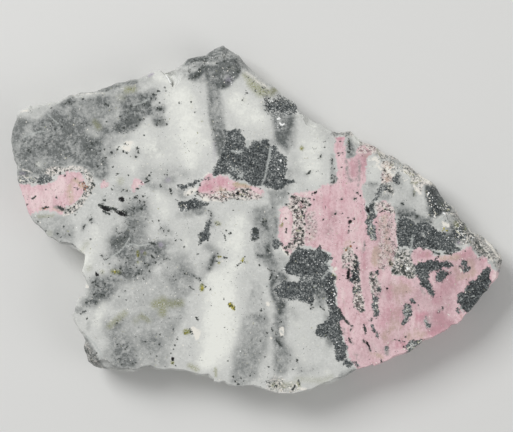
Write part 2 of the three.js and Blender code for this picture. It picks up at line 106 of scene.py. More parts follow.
# Dark ore with a crisp edge: outlines in millimetres
ORE = {
    "faint, far right": [
        (41.4, -25), (42.2, -24.8), (42.6, -25.8), (43.4, -26.2), (43.2, -27.2), (42.4, -27.2),
    ],
    "faint, lower right": [(31.8, -31.9), (32.3, -31.7), (32.7, -32.2), (32.3, -32.8), (31.8, -32.7)],
    "north patch": [
        (-8.3, 22.2), (-6.6, 22.3), (-5.3, 22.8), (-4.4, 22.4), (-3.7, 21.1), (-3.1, 19.6), (-3, 18.3),
        (-2.4, 17.7), (-1.8, 18.2), (-1.5, 19.2), (-0.7, 19.7), (0.3, 19.4), (1.2, 20), (2.3, 19.9),
        (2.9, 19), (3.4, 18.4), (4.2, 18.7), (4.9, 17.4), (6.3, 16.1), (7.2, 15.2), (7.3, 13.8), (7.5, 12.9),
        (6.9, 11.6), (7, 10.4), (8.2, 9.9), (9.2, 9.8), (9.3, 9.3), (8.1, 9), (7, 8.4), (6.3, 7.2), (5.3, 7),
        (4, 7.7), (2.3, 7.9), (1.2, 8.4), (-0.7, 8.2), (-2, 8.6), (-3, 9.4), (-4.4, 9.6), (-5.9, 9.9),
        (-6.8, 10.4), (-7, 11.3), (-8, 11.4), (-8.9, 11.2), (-9.4, 11.7), (-10, 10.9), (-10.8, 10.5),
        (-11.2, 11.3), (-10.9, 12.4), (-10.3, 13.6), (-9.9, 14.7), (-9.2, 15.8), (-9, 17), (-9.1, 18),
        (-8.2, 19.2), (-8.1, 20.8),
    ],
    "south-west of the pink": [
        (8, -9.6), (8.6, -8.4), (9.4, -7.7), (10.1, -6.9), (11, -7), (11.9, -7.5), (12.9, -7.3), (14.2, -7.9),
        (15, -7.5), (15.6, -6.6), (15.8, -7.6), (17, -8.3), (18.3, -8.9), (17.9, -9.4), (18.9, -9.7),
        (17.6, -10.5), (17.4, -11.3), (18.3, -11.8), (17.9, -13), (18.6, -13.8), (19.9, -14.4), (19.3, -15.2),
        (19.1, -16.4), (19.8, -17.6), (20, -18.8), (19.6, -20.2), (19.8, -21.8), (20.5, -22.7), (21, -23.9),
        (21.8, -25), (20.9, -25), (20.3, -25.4), (20.8, -27.2), (20.9, -28.6), (21.6, -30.4), (22.4, -32),
        (22.1, -34.1), (21.4, -35.3), (20.3, -35.5), (19.5, -34.9), (19.2, -33.6), (19.3, -32.2),
        (18.5, -30.2), (17.4, -29.5), (15.8, -29.8), (14.9, -29.2), (14.1, -28.3), (14.7, -27.3),
        (14.8, -26.6), (16.2, -26.1), (17.6, -25.2), (18.2, -23.4), (18, -21.8), (17.1, -20.8), (17.3, -19.2),
        (17.2, -18.2), (15.8, -17.6), (14.4, -18.2), (14.1, -19.4), (14.3, -20.8), (13.4, -21.2), (12, -20.6),
        (11, -20.9), (9.8, -20.3), (8.4, -20.4), (7.4, -19.6), (6.4, -19.9), (5.2, -19.6), (4.2, -18.7),
        (3.9, -17.6), (5, -16.6), (6.2, -15.7), (8.2, -15.6), (10.2, -15.7), (10.6, -14.6), (8.6, -14.1),
        (7.4, -13.3), (6.1, -12.9), (6.6, -11.9), (7.4, -11), (8.1, -10.4),
    ],
    "east patch": [
        (34.9, -0.1), (35.4, 0.4), (36.4, 1), (37.4, 1.2), (38.2, 0.8), (37.6, 0.2), (38.6, -0.3),
        (39.2, -0.8), (40.2, -1), (41, -0.8), (42.6, -1), (43.3, -1.7), (44.2, -1.9), (44.9, -2.7),
        (45.9, -3.2), (47.4, -3.3), (48.1, -3.8), (48.8, -4.8), (49.4, -6), (49.9, -6.9), (51.2, -7),
        (51.4, -7.5), (50.4, -8), (49.2, -8.4), (47.9, -8.7), (46.6, -8.5), (47, -7.9), (45.6, -7.7),
        (44.2, -7.8), (42.6, -7.6), (41.4, -7.6), (40.4, -6.9), (39.8, -7.2), (39.2, -7.7), (38.6, -7.6),
        (38.2, -7), (37.2, -6.9), (36, -7), (35.4, -7.3), (35.3, -6.4), (34.9, -5), (34.8, -2),
    ],
    "east wedge": [
        (39, -11.4), (40.4, -11), (42, -10.4), (43.6, -10.2), (45.2, -10.3), (46.4, -10.6), (47.6, -10.4),
        (48.2, -11), (49, -11.6), (48.3, -12), (47.4, -12.2), (46.2, -12.2), (45, -12.6), (44, -13),
        (43.2, -13.2), (43, -14), (42.8, -15.2), (43.2, -16.2), (43.6, -17.2), (44, -17.9), (44.3, -18.8),
        (43.9, -19.5), (43.3, -19.4), (42.6, -18.4), (41.8, -17.4), (41, -16.6), (40.5, -15.4), (40, -14.4),
        (39.4, -13.6), (39.2, -12.6),
    ],
    "east blob": [
        (44.4, -14.2), (44.8, -13.4), (45.6, -12.9), (46.6, -12.6), (47.4, -13), (47.9, -13.4), (48.7, -13.3),
        (48.6, -13.9), (47.8, -14.2), (47, -14.7), (46.5, -15.4), (45.8, -15.8), (44.8, -15.7), (44.4, -15),
    ],
    "east eye": [
        (50.9, -10.8), (51.8, -10.1), (52.6, -10.7), (52.9, -12), (52.6, -13.2), (51.7, -13.8), (51.3, -13.2),
        (51.8, -12.4), (51.6, -11.4), (51, -12.4), (50.5, -11.6),
    ],
    "far east band": [
        (57.2, -11.9), (58.1, -12.1), (58.3, -12.8), (57.8, -13.6), (58.2, -14.6), (58.4, -15.6), (58, -16.6),
        (57.9, -17.8), (56.6, -19.2), (55.8, -20.2), (54.6, -21.8), (53.2, -23.3), (52.1, -23.6),
        (51.6, -22.8), (50.9, -22.4), (50.6, -21.4), (49.9, -20.8), (49.8, -19.8), (50, -18.8), (50.6, -18.5),
        (51.4, -18.2), (51.8, -17.2), (52.4, -16.4), (53.2, -15.6), (54, -15.4), (54.7, -15.2), (55.1, -14.4),
        (55.6, -13.6), (56.4, -12.7),
    ],
    "far east sliver": [
        (49.5, -22.2), (50.2, -22.1), (50.6, -22.8), (50.9, -23.5), (50.4, -23.7), (49.9, -23.2),
    ],
    "upper right rim": [
        (42, 7), (42.8, 7.6), (43.4, 8.3), (44.2, 8), (44.9, 7.6), (45.6, 7.2), (46.1, 6.4), (46, 5.4),
        (45.6, 4.6), (44.9, 4.3), (44.2, 4), (43.2, 4.1), (42.6, 4.6), (42.5, 5.6), (42.2, 6.2),
    ],
    "below the upper right rim": [
        (43.2, 3.4), (43.9, 4.2), (45.2, 4.2), (46.2, 3.6), (47.6, 3.2), (48.6, 2.8), (48.4, 2.3),
        (47.4, 2.1), (46.2, 2.3), (46, 1.4), (45.2, 0.9), (44.2, 1), (43.2, 0.4), (42.9, 1.4), (43.3, 2.2),
        (44.1, 2.6),
    ],
    "olive ore at the rim": [
        (48.6, -3), (49.4, -2.4), (50.2, -2), (51, -0.9), (51.9, -1.5), (52.2, -2.8), (52.3, -4),
        (51.5, -5.2), (50.2, -5.4), (49.2, -4.8), (48.4, -3.8),
    ],
    "right end": [(52.8, -4.4), (53.6, -3.6), (54.6, -3.9), (54.5, -4.6), (53.4, -5)],
    "centre patch": [
        (-20.4, 4.9), (-19.4, 4.5), (-18.3, 4.5), (-17.5, 4.9), (-16.4, 4.8), (-15.8, 5.1), (-15, 4.7),
        (-13.9, 4.3), (-12.5, 4.1), (-12.2, 3.7), (-12.7, 3.3), (-13.6, 3), (-15.2, 2.5), (-16.8, 2.3),
        (-17.6, 1.9), (-18.3, 2.1), (-19.1, 1.7), (-19.6, 2.6), (-19.8, 3.8),
    ],
    "centre streak": [
        (-20.3, 8.3), (-18.8, 8.4), (-17.4, 8.8), (-16.7, 9), (-16.2, 8.6), (-15.6, 9.6), (-14.6, 9.9),
        (-13.4, 10.3), (-11.9, 10.2), (-13.8, 9.7), (-14.9, 9.1), (-15.8, 8.2), (-17.2, 8.1), (-18.2, 7.6),
        (-18.9, 7.3), (-19.5, 7.7),
    ],
    "below the centre": [
        (-12, 0.2), (-11.6, -0.4), (-11.9, -1.6), (-12, -3), (-12.1, -4.2), (-12.1, -5.3), (-13, -5.6),
        (-13.9, -6), (-14.2, -6.7), (-14.7, -6.2), (-14.9, -5), (-14.8, -4), (-14.2, -3.2), (-13.4, -2.9),
        (-13.1, -1.9), (-12.8, -0.9),
    ],
    "left of the pale column": [
        (-0.8, -2.1), (0.2, -2.2), (0.6, -3.4), (0.4, -4.6), (-0.1, -5.3), (-0.8, -5.5), (-1.6, -5),
        (-1.7, -4), (-1.3, -3),
    ],
    "beside the pale column": [
        (3.6, -6.8), (4, -5.4), (5, -5), (5.8, -5.6), (6.6, -5.8), (6.9, -6.6), (5.9, -6.6), (5.4, -7.4),
        (4.4, -7.6),
    ],
    "south tip": [
        (21.7, -35.2), (22.6, -35), (23.4, -35.6), (24.2, -36.2), (23.9, -37), (22.8, -37.4), (22, -37),
        (21.6, -36.2),
    ],
    "south tip, small": [(24.3, -35.6), (25, -35.9), (25.4, -36.8), (24.8, -37.2), (24.4, -36.6)],
    "beside the slot": [
        (24.9, -10.6), (25.4, -11), (25, -11.8), (24.9, -12.6), (25, -13.6), (25.3, -14.6), (25.6, -15.4),
        (25.2, -15.8), (24.4, -15.1), (23.6, -15.8), (22.9, -15.7), (23.2, -14.6), (23.6, -13.7),
        (23.4, -12.9), (24, -12.3), (24.1, -11.6),
    ],
    "under the slot": [
        (23.6, -16.4), (24, -16.9), (24.7, -17.6), (25.2, -17.4), (25.5, -16.2), (25.7, -17.2), (25.4, -18.2),
        (25.1, -18.8), (24.4, -18.8), (23.8, -18.2), (23.7, -17.3),
    ],
    "pink streak, upper": [
        (29.9, -16.8), (30.6, -17.4), (31, -18.2), (30.8, -18.7), (30.2, -18.2), (29.8, -17.6),
    ],
    "pink streak, middle": [
        (28.7, -18.8), (29.2, -18.6), (29.6, -19.4), (30.4, -19.3), (30, -20.4), (29.9, -21.4), (30.2, -22.4),
        (30.6, -23), (30.3, -23.6), (30, -24.4), (29.4, -24.1), (29, -23.4), (28.6, -22.4), (28.6, -21.2),
        (28.8, -20.2),
    ],
    "pink streak, lower": [
        (28.5, -26.6), (29, -26.4), (29.3, -27.2), (29.8, -28.2), (30.2, -29), (30.7, -29.7), (30.2, -29.9),
        (29.7, -29.3), (29.2, -28.4), (28.6, -27.4),
    ],
    "pink dot, upper": [(29.4, -12.8), (30.4, -12.5), (30.5, -13.4), (30, -13.8), (29.3, -13.3)],
    "pink dot, lower": [(27.7, -24.6), (28.3, -24.6), (28.7, -25.3), (28.4, -25.7), (28, -25.4)],
    "south-east": [
        (37, -21.2), (38, -21.3), (38.5, -22.2), (39, -22.8), (38.9, -23.9), (38.2, -24.3), (37.9, -25),
        (37.5, -25.8), (36.9, -26), (36.4, -26.6), (36.1, -26.2), (36.3, -25.2), (36.8, -24.5), (36.3, -23.6),
        (36.2, -22.6), (36.5, -21.8),
    ],
    "south-east, small": [(38.2, -20), (38.9, -20.2), (39.4, -20.9), (38.9, -21.3), (38.4, -20.8)],
    "south-east rim": [
        (36.9, -33.6), (37.3, -31.6), (38.2, -30.4), (39.4, -30.3), (41.6, -30.2), (40.4, -31.5),
        (39.2, -32.6), (37.8, -34),
    ],
    "down the pink edge": [
        (26.8, 3.7), (27.7, 3.3), (28.3, 3.9), (29.3, 3.8), (28.8, 3), (29.3, 2.2), (29.7, 1.4), (30.1, 0.9),
        (29.4, 0.2), (28.8, -0.4), (29.1, -1.4), (29.7, -2.2), (29.3, -3.2), (29.9, -4.2), (29.7, -5.2),
        (29, -5.8), (28.3, -5.4), (28, -4.4), (27.1, -3.8), (27.2, -2.6), (27.5, -1.8), (27.1, -0.8),
        (27.3, 0.3), (27.6, 1), (27, 2.2),
    ],
    "by the white patch": [
        (29.9, 7.4), (30.3, 8.3), (31.2, 8.5), (32.2, 8.2), (32.5, 7.4), (31.5, 6.9), (30.9, 6), (30.3, 5.2),
        (29.5, 4.5), (29, 4.6), (29.4, 5.9),
    ],
    "cream blob": [
        (34, 10.5), (34.6, 11.3), (35.2, 11.5), (35.8, 11), (35.4, 10.4), (35.2, 9.6), (35.5, 9), (35, 8.6),
        (34.4, 8.7), (34, 9.4),
    ],
    "left band, west": [
        (-60.1, 10.4), (-59.3, 10.6), (-58.3, 10.3), (-57.6, 9.9), (-57.4, 9.1), (-57.9, 8.6), (-58.6, 9),
        (-59.3, 8.9), (-59.9, 9.4),
    ],
    "left band, middle": [
        (-57.3, 10.2), (-56.2, 10.6), (-55.2, 10), (-55.3, 9.3), (-56.4, 9.1), (-57.2, 9.5),
    ],
    "left band, east": [
        (-55, 9.2), (-54.6, 10.5), (-53.9, 11.3), (-52.8, 11.5), (-52, 10.7), (-50.9, 9.8), (-52, 9.3),
        (-53.4, 8.9), (-54.6, 8.7),
    ],
}

# Pink pyroxmangite: outlines in millimetres
PINK = {
    "upper right, crumbled": [
        (31.2, 14.2), (32.6, 14.6), (33.6, 13.4), (33.4, 11.6), (33.8, 9.8), (32.6, 8.8), (31.2, 9.4),
        (31, 11), (31.6, 12.4),
    ],
    "left": [
        (-60.6, 9), (-58.6, 8.7), (-57.2, 8.9), (-56.4, 8.3), (-54.8, 8.5), (-53.2, 8.7), (-51.8, 9.1),
        (-50.6, 9.3), (-50.2, 10.2), (-49.6, 11), (-48.4, 11.3), (-47.8, 11.9), (-46.2, 12.1), (-45.2, 11.7),
        (-44.3, 11.9), (-43.6, 11.2), (-43.9, 10.2), (-43.4, 9.4), (-42.9, 8.4), (-43, 7.4), (-43.6, 6.6),
        (-43.9, 5.8), (-44.4, 5), (-45.4, 4.3), (-45.9, 3.7), (-46.7, 3.2), (-47.8, 3.4), (-48.2, 2),
        (-48.8, 1.2), (-50.2, 1.6), (-51.6, 1.9), (-52.8, 2.1), (-54.3, 2), (-55.6, 1.7), (-57.4, 0.9),
        (-60, 3),
    ],
    "left, small": [
        (-31.4, 8.4), (-31, 9.6), (-30.4, 10.2), (-29.6, 10.2), (-29, 9.7), (-28.3, 9.2), (-28.6, 8.6),
        (-29.4, 8.3), (-30, 7.8), (-30.6, 7.1), (-31.2, 6.9), (-31.5, 7.6),
    ],
    "left, faint": [(-39.6, 8.6), (-38.6, 9.5), (-37.4, 9.3), (-36.9, 8.5), (-37.6, 7.9), (-38.9, 7.8)],
    "lens": [
        (-14.6, 8.3), (-13.9, 9.5), (-13.4, 10.4), (-12.2, 11.5), (-11.5, 11.4), (-11, 10.3), (-10.1, 10.7),
        (-9.2, 11), (-8, 10.6), (-7.2, 10.2), (-6.6, 9.7), (-5.6, 9.2), (-4.4, 9), (-3, 8.9), (-1.8, 8.3),
        (-0.4, 8), (0.9, 7.7), (1.4, 6.8), (1.2, 5.9), (0.6, 5.2), (-0.8, 5), (-2, 5.1), (-3.2, 5.8),
        (-4.4, 6), (-6.2, 5.6), (-7.4, 5), (-9, 4.5), (-10.8, 4.6), (-12.6, 5.2), (-14, 5.6), (-15, 6.2),
        (-15, 7.2),
    ],
    "main": [
        (19.2, 18.8), (19.6, 20.3), (20.6, 21), (21.6, 20.6), (21.9, 19), (22, 17), (22.2, 15.4), (23, 14.9),
        (24.2, 15.3), (24.9, 16.2), (25, 17.6), (26, 18.6), (27.2, 19.2), (28.6, 18.8), (30, 18), (29.6, 17),
        (28.4, 16.2), (27.6, 15.2), (27.3, 13.6), (27, 11.6), (27, 9.4), (26.2, 8.2), (25.9, 7), (26.4, 5.4),
        (27, 4), (27, 2.2), (27.6, 0.9), (29.4, 0.9), (29.8, 1.6), (29.6, 3), (30.2, 4.2), (31.6, 4.5),
        (32.8, 4), (33.7, 3), (34.2, 1.8), (34.4, 0.4), (34.7, -1.6), (34.7, -3.8), (34.9, -5.4), (35, -7),
        (34.4, -8.8), (34, -11), (33.6, -12.6), (34, -13.9), (35.4, -14.2), (36.6, -14), (37.8, -14.9),
        (39, -14.9), (39.8, -14.2), (39.4, -12.6), (39, -11.4), (38.4, -10.6), (38.2, -9.2), (38.5, -8.2),
        (39.4, -7.4), (40.6, -6.8), (43.2, -7.6), (43.7, -8.6), (44.2, -9.4), (46, -9.4), (48, -8.9),
        (49.4, -8.4), (50.6, -8), (51.4, -7.4), (52.6, -7), (53.6, -7.2), (54.6, -8.2), (55.2, -9.6),
        (56.4, -9.2), (57.4, -9.8), (57.9, -11), (59, -12.6), (60.4, -13.4), (60.8, -15.4), (58, -19),
        (52, -26), (46, -30), (38, -34.6), (28, -38.5), (25.2, -38), (24.2, -36.6), (22.8, -34.8),
        (22.4, -32), (21.6, -30.4), (20.9, -28), (20.4, -26), (20, -23.4), (19.8, -20), (19.9, -17),
        (19.4, -15.6), (19.6, -14.2), (18.8, -13.2), (18.4, -12), (18.6, -10.4), (18.4, -8.8), (17, -8),
        (15.4, -7.2), (14.2, -7.4), (13, -6.8), (11.8, -6.8), (10.4, -6.6), (9.4, -7.4), (8.4, -8.8),
        (7.9, -9.3), (6.4, -7.6), (5.4, -6), (5.3, -4), (5.3, -1.6), (5.6, 0.4), (5.6, 2.4), (6.4, 3.2),
        (7.6, 3.2), (8.2, 4.4), (8, 5.8), (9, 6.6), (10.6, 6.6), (12.4, 6.7), (14, 7.3), (15.6, 7.6),
        (16.4, 8.4), (17.6, 8.9), (18.6, 8.6), (20, 9.2), (19.8, 11), (20, 13), (19.8, 14.6), (19.4, 16),
        (19, 17.4),
    ],
}

# Brush strokes: an amount, and then a chain of discs x, y, radius in millimetres.
# Grey clouds in the quartz, with two strokes of painted shade: beside the flake's step at the notch and along
# a bevel of the lower rim
GREY = [
    (0.15, -8, 35.6, 2.2), (0.2, -14, 39.6, 1.2), (0.1, -8.4, 41, 1.6), (0.22, 7.4, 22.4, 1.1),
    (0.2, 6.2, -16, 1.3), (0.1, -36, -27, 3, -34, -31, 3), (0.12, -47, 28, 2.4),
    # The first stroke on the next line is painted shadow beside the flake's step at the notch
    (0.45, -22.3, 35.6, 0.5, -21.5, 34.3, 0.4), (0.25, -58.8, 15, 1.8, -58.8, 18.2, 1.8),
    (0.12, -19, -4, 2.4, -19, -8, 2.4), (0.2, -38.6, -9.2, 0.8, -36.6, -10.6, 0.8),
    # The upper left quarter
    (0.4, -42.2, 17.4, 1.8, -40.8, 19.2, 1.5), (0.3, -58.6, 20.4, 1, -55.4, 20, 1), (0.3, -57.4, 17, 0.9),
    (0.6, -48.2, 28.9, 0.8, -46.4, 29.8, 0.8), (0.3, -44.4, 14.4, 1, -43.6, 15.6, 0.9),
    (0.25, -47, 16, 1.4, -48.4, 18.4, 1.2), (0.25, -50.6, 22.6, 1, -48.6, 23.6, 1),
    (0.3, -42, 14, 1.2, -40.2, 12.8, 0.9), (0.6, -34.2, 22.8, 1.3, -31.8, 23.4, 1.1),
    (0.3, -33.2, 25.4, 1.4, -30.6, 27, 1.6), (0.35, -32.2, 28.2, 1.2),
    (0.5, -27.4, 28.4, 1, -26.6, 26.6, 0.9), (0.85, -25.4, 27.6, 1, -23.9, 27.6, 1.1),
    (0.8, -25.2, 24.8, 1.2, -23.8, 24.4, 1.2), (0.5, -25.4, 23.6, 0.7, -22.8, 23.7, 0.5),
    (0.3, -24.8, 26, 1.6), (0.55, -38, 32.8, 1, -33.6, 34, 0.8, -30.4, 34.4, 0.6),
    (0.24, -32, 33.6, 1.4, -27, 35.4, 1), (0.2, -36.4, 19.6, 2.2, -33, 20.6, 1.4),
    (0.4, -36.8, 16.4, 1, -34.4, 16.9, 0.8), (0.35, -30, 16.8, 0.9, -30.5, 15.6, 0.8),
    # The peak and the band below it
    (0.4, -11.6, 29.6, 0.5, -11.7, 26.4, 0.6, -11.4, 23.8, 0.6), (0.3, -4.8, 36.6, 1), (0.3, -8.6, 33.4, 1),
    (0.2, -3.6, 40, 0.8, 0, 35.6, 0.8, 3, 33.6, 0.8),
    # The grey tail and the fringe of the north patch
    (0.35, 1.2, 28.4, 0.9, 2.4, 27.6, 1.1), (0.3, 6, 22.4, 1.4, 5.4, 19.8, 1.2),
    (0.35, 3.4, 19.2, 0.9, -2.5, 19, 0.7), (0.35, 8.6, 24.6, 1.2, 9, 22, 1, 8.6, 18.4, 1),
    (0.35, 7.8, 12, 0.9, 7.8, 9.6, 0.9, 6.6, 6.6, 1.1),
    # The middle
    (0.6, 1.5, -0.2, 1, 2.1, -2.1, 0.8), (0.55, 2.5, -6.8, 0.8, 2.7, -9, 0.8),
    (0.5, 4.6, -0.2, 0.6, 4.6, -2.8, 0.6), (0.45, 0, -9, 0.6, 1.4, -9.3, 0.5),
    (0.35, 2.9, -9.8, 0.9, 3.6, -10.8, 0.7), (0.25, -0.8, 2.2, 1.4, -1.2, 0, 1.2),
    (0.45, 15.6, -18, 1.2, 15.8, -20.6, 1.2), (0.45, -23.2, 9.7, 1, -21.2, 9.8, 0.9),
    (0.45, -19.4, 6.6, 1.2, -18.4, 5.6, 0.9), (0.22, -28, 12.2, 2, -22.4, 12, 1.8, -18, 11.4, 1.2),
    (0.22, -27, 16, 1.6, -25, 17.4, 1.4), (0.45, -28, 9.8, 1.2, -26.6, 8.4, 1.2),
    (0.3, -25.2, 8.4, 1.4, -22, 7, 1.4), (0.4, -12.2, 1.8, 1, -11.6, 0.4, 0.9, -11.4, -1.6, 0.9),
    (0.35, -16.6, 1.2, 0.9, -19.4, 1, 1), (0.4, -12.4, -7, 1.2, -10.2, -8.2, 1),
    (0.85, -10.9, -9.4, 0.8, -12, -12.6, 0.8), (0.3, -11.2, -11, 1.6),
    (0.3, -13.4, -12.4, 1.6, -13.6, -15, 1.4),
    # Left of the middle
    (0.35, -31, 1.4, 1.4, -31.4, -2.4, 1.4), (0.5, -30.6, 2.4, 1, -28.6, 2.7, 0.9),
    (0.2, -28.4, 4.6, 1.4, -30.6, 5.6, 1.4), (0.45, -34.8, -5.8, 1.6, -32.8, -3.8, 1.2),
    (0.45, -34.8, -13, 1.4, -30, -13.6, 1.4), (0.35, -33.6, -9, 1.2, -32.4, -10.4, 1),
    (0.35, -35, -12.6, 1, -33.6, -13.4, 1.2), (0.45, -27.2, -6.1, 0.6, -23.6, -6.3, 1),
    (0.4, -28.8, -7.8, 0.9, -28.2, -9.6, 0.9), (0.3, -25.8, -8.6, 1.2, -23.4, -8.8, 1),
    (0.35, -25.8, -11, 0.9, -27.8, -11.4, 0.9, -29.8, -13.6, 1), (0.3, -30.6, -10.8, 1.2),
    (0.25, -19.6, -11, 1.2, -19.4, -13.6, 1.2, -21, -15.4, 1), (0.3, -23.6, -2.6, 1.2, -22, -3.4, 1),
    (0.4, -17.8, -13.6, 0.7, -15.8, -14.2, 0.6, -14.4, -15, 0.6),
    (0.35, -39.6, -16.4, 1.2, -38.6, -18.6, 1.2), (0.55, -43.2, -20.9, 0.8, -40.6, -20.8, 0.8),
    (0.5, -45.4, -22.6, 0.8, -43.4, -23.2, 0.7), (0.35, -42, 0, 0.9, -41.2, -0.6, 0.8),
    (0.4, -43.2, -1.6, 0.8, -43.6, -2.6, 0.7), (0.3, -50.2, -3.6, 1.2, -47.4, -3.8, 1.2),
    (0.3, -35.4, -2.4, 1), (0.2, -35.4, 8, 1, -33, 7, 1.2), (0.15, -38.4, 5.2, 1.2),
    (0.25, -32.4, 3.6, 1.4, -29.4, 3.6, 1.2),
    # The lower left quarter
    (0.3, -36.4, -28.4, 1.2, -34.6, -26, 1), (0.12, -35, -31, 2, -34, -34, 2.8, -31.6, -36, 2),
    (0.3, -28.2, -30.6, 1, -25.6, -30.2, 1.2, -24.6, -31.6, 0.9), (0.22, -21.4, -27.4, 1.4),
    (0.22, -42.2, -26, 0.6, -42.3, -27.4, 0.6), (0.4, -41.6, -35, 1, -40, -35.8, 1),
    # The lower middle
    (0.22, -1, -18.6, 0.9, -0.8, -21, 0.8), (0.22, -0.6, -24.6, 1, 1.4, -25, 0.8),
    (0.3, -5.8, -39.8, 1.2, -4.2, -41, 1.2), (0.25, 4.4, -24, 0.8, 5.6, -26, 0.8),
    (0.4, 4.4, -30, 0.8, 5.8, -31.4, 0.7), (0.4, 4.2, -40.4, 1.2, 5.4, -41.4, 1),
    (0.2, 8, -32.8, 1.4, 9.6, -36.4, 1.6), (0.2, 8.4, -23, 1, 9.6, -24.6, 1),
    (0.35, 18, -31, 1, 17.4, -24.2, 1), (0.2, 14, -37.6, 1.2, 11, -38, 1.2), (0.25, 13.6, -22, 0.9),
    # Painted shade along the narrow bevel of the lower rim
    (0.5, 21, -39.4, 1, 24, -37.8, 0.8),
    # The white between the tail and the pink
    (0.5, 13.3, 12, 0.7, 12.3, 11.2, 0.8), (0.3, 15.9, 16, 0.7, 15.6, 15.2, 0.7),
    (0.22, 14.6, 21.6, 1.6, 17.4, 20.6, 1.4), (0.45, 18.7, 15.6, 0.7, 18.9, 12.4, 0.7),
    (0.65, 18.9, 11.4, 0.8, 19.1, 9.2, 0.9), (0.2, 10, 12, 1.6, 9.4, 15.6, 1.2),
    # East of the pink
    (0.45, 23, 19.4, 0.6, 23, 16.8, 1), (0.55, 19.4, 21.6, 0.7, 22.6, 21.6, 0.7),
    (0.5, 28.2, 8.9, 0.6, 29.6, 8.6, 0.7), (0.5, 30.8, 5.6, 0.9, 32.6, 5.4, 0.9),
    (0.45, 34.4, 2.6, 0.8, 35.8, 2.2, 1.1, 38.6, 1.6, 1), (0.6, 35.4, 1.2, 0.8, 38, 0.9, 0.8, 39.9, 0.6, 0.7),
    (0.4, 41.6, -0.3, 0.8, 43.4, -0.4, 0.6), (0.5, 36.2, 3.8, 0.6), (0.5, 34.8, 9.6, 1.4),
    (0.4, 38.8, 9.4, 0.8, 39.2, 6.4, 0.7), (0.45, 33.2, 7.4, 1), (0.5, 39.2, 12.2, 1),
    (0.4, 42.6, 5.2, 0.8, 42.8, 2.4, 0.7), (0.7, 54.8, -6.4, 0.8, 56.6, -8.6, 1),
    (0.85, 60.9, -10.4, 0.6, 60.9, -12.4, 0.6, 60, -13.8, 0.5),
    # Along the upper rim
    (0.35, -47, 30.8, 0.6, -43, 31.8, 0.6, -39, 32.2, 0.6), (0.3, -36.4, 28.4, 1.2, -36.8, 25, 1.2),
    (0.45, -11.4, 41.4, 0.9, -8.8, 42.6, 1, -6, 41, 0.9),
    (0.4, -59, 11.6, 0.8, -56, 11, 0.8, -53.4, 11.6, 1, -52.4, 10.2, 0.8),
]

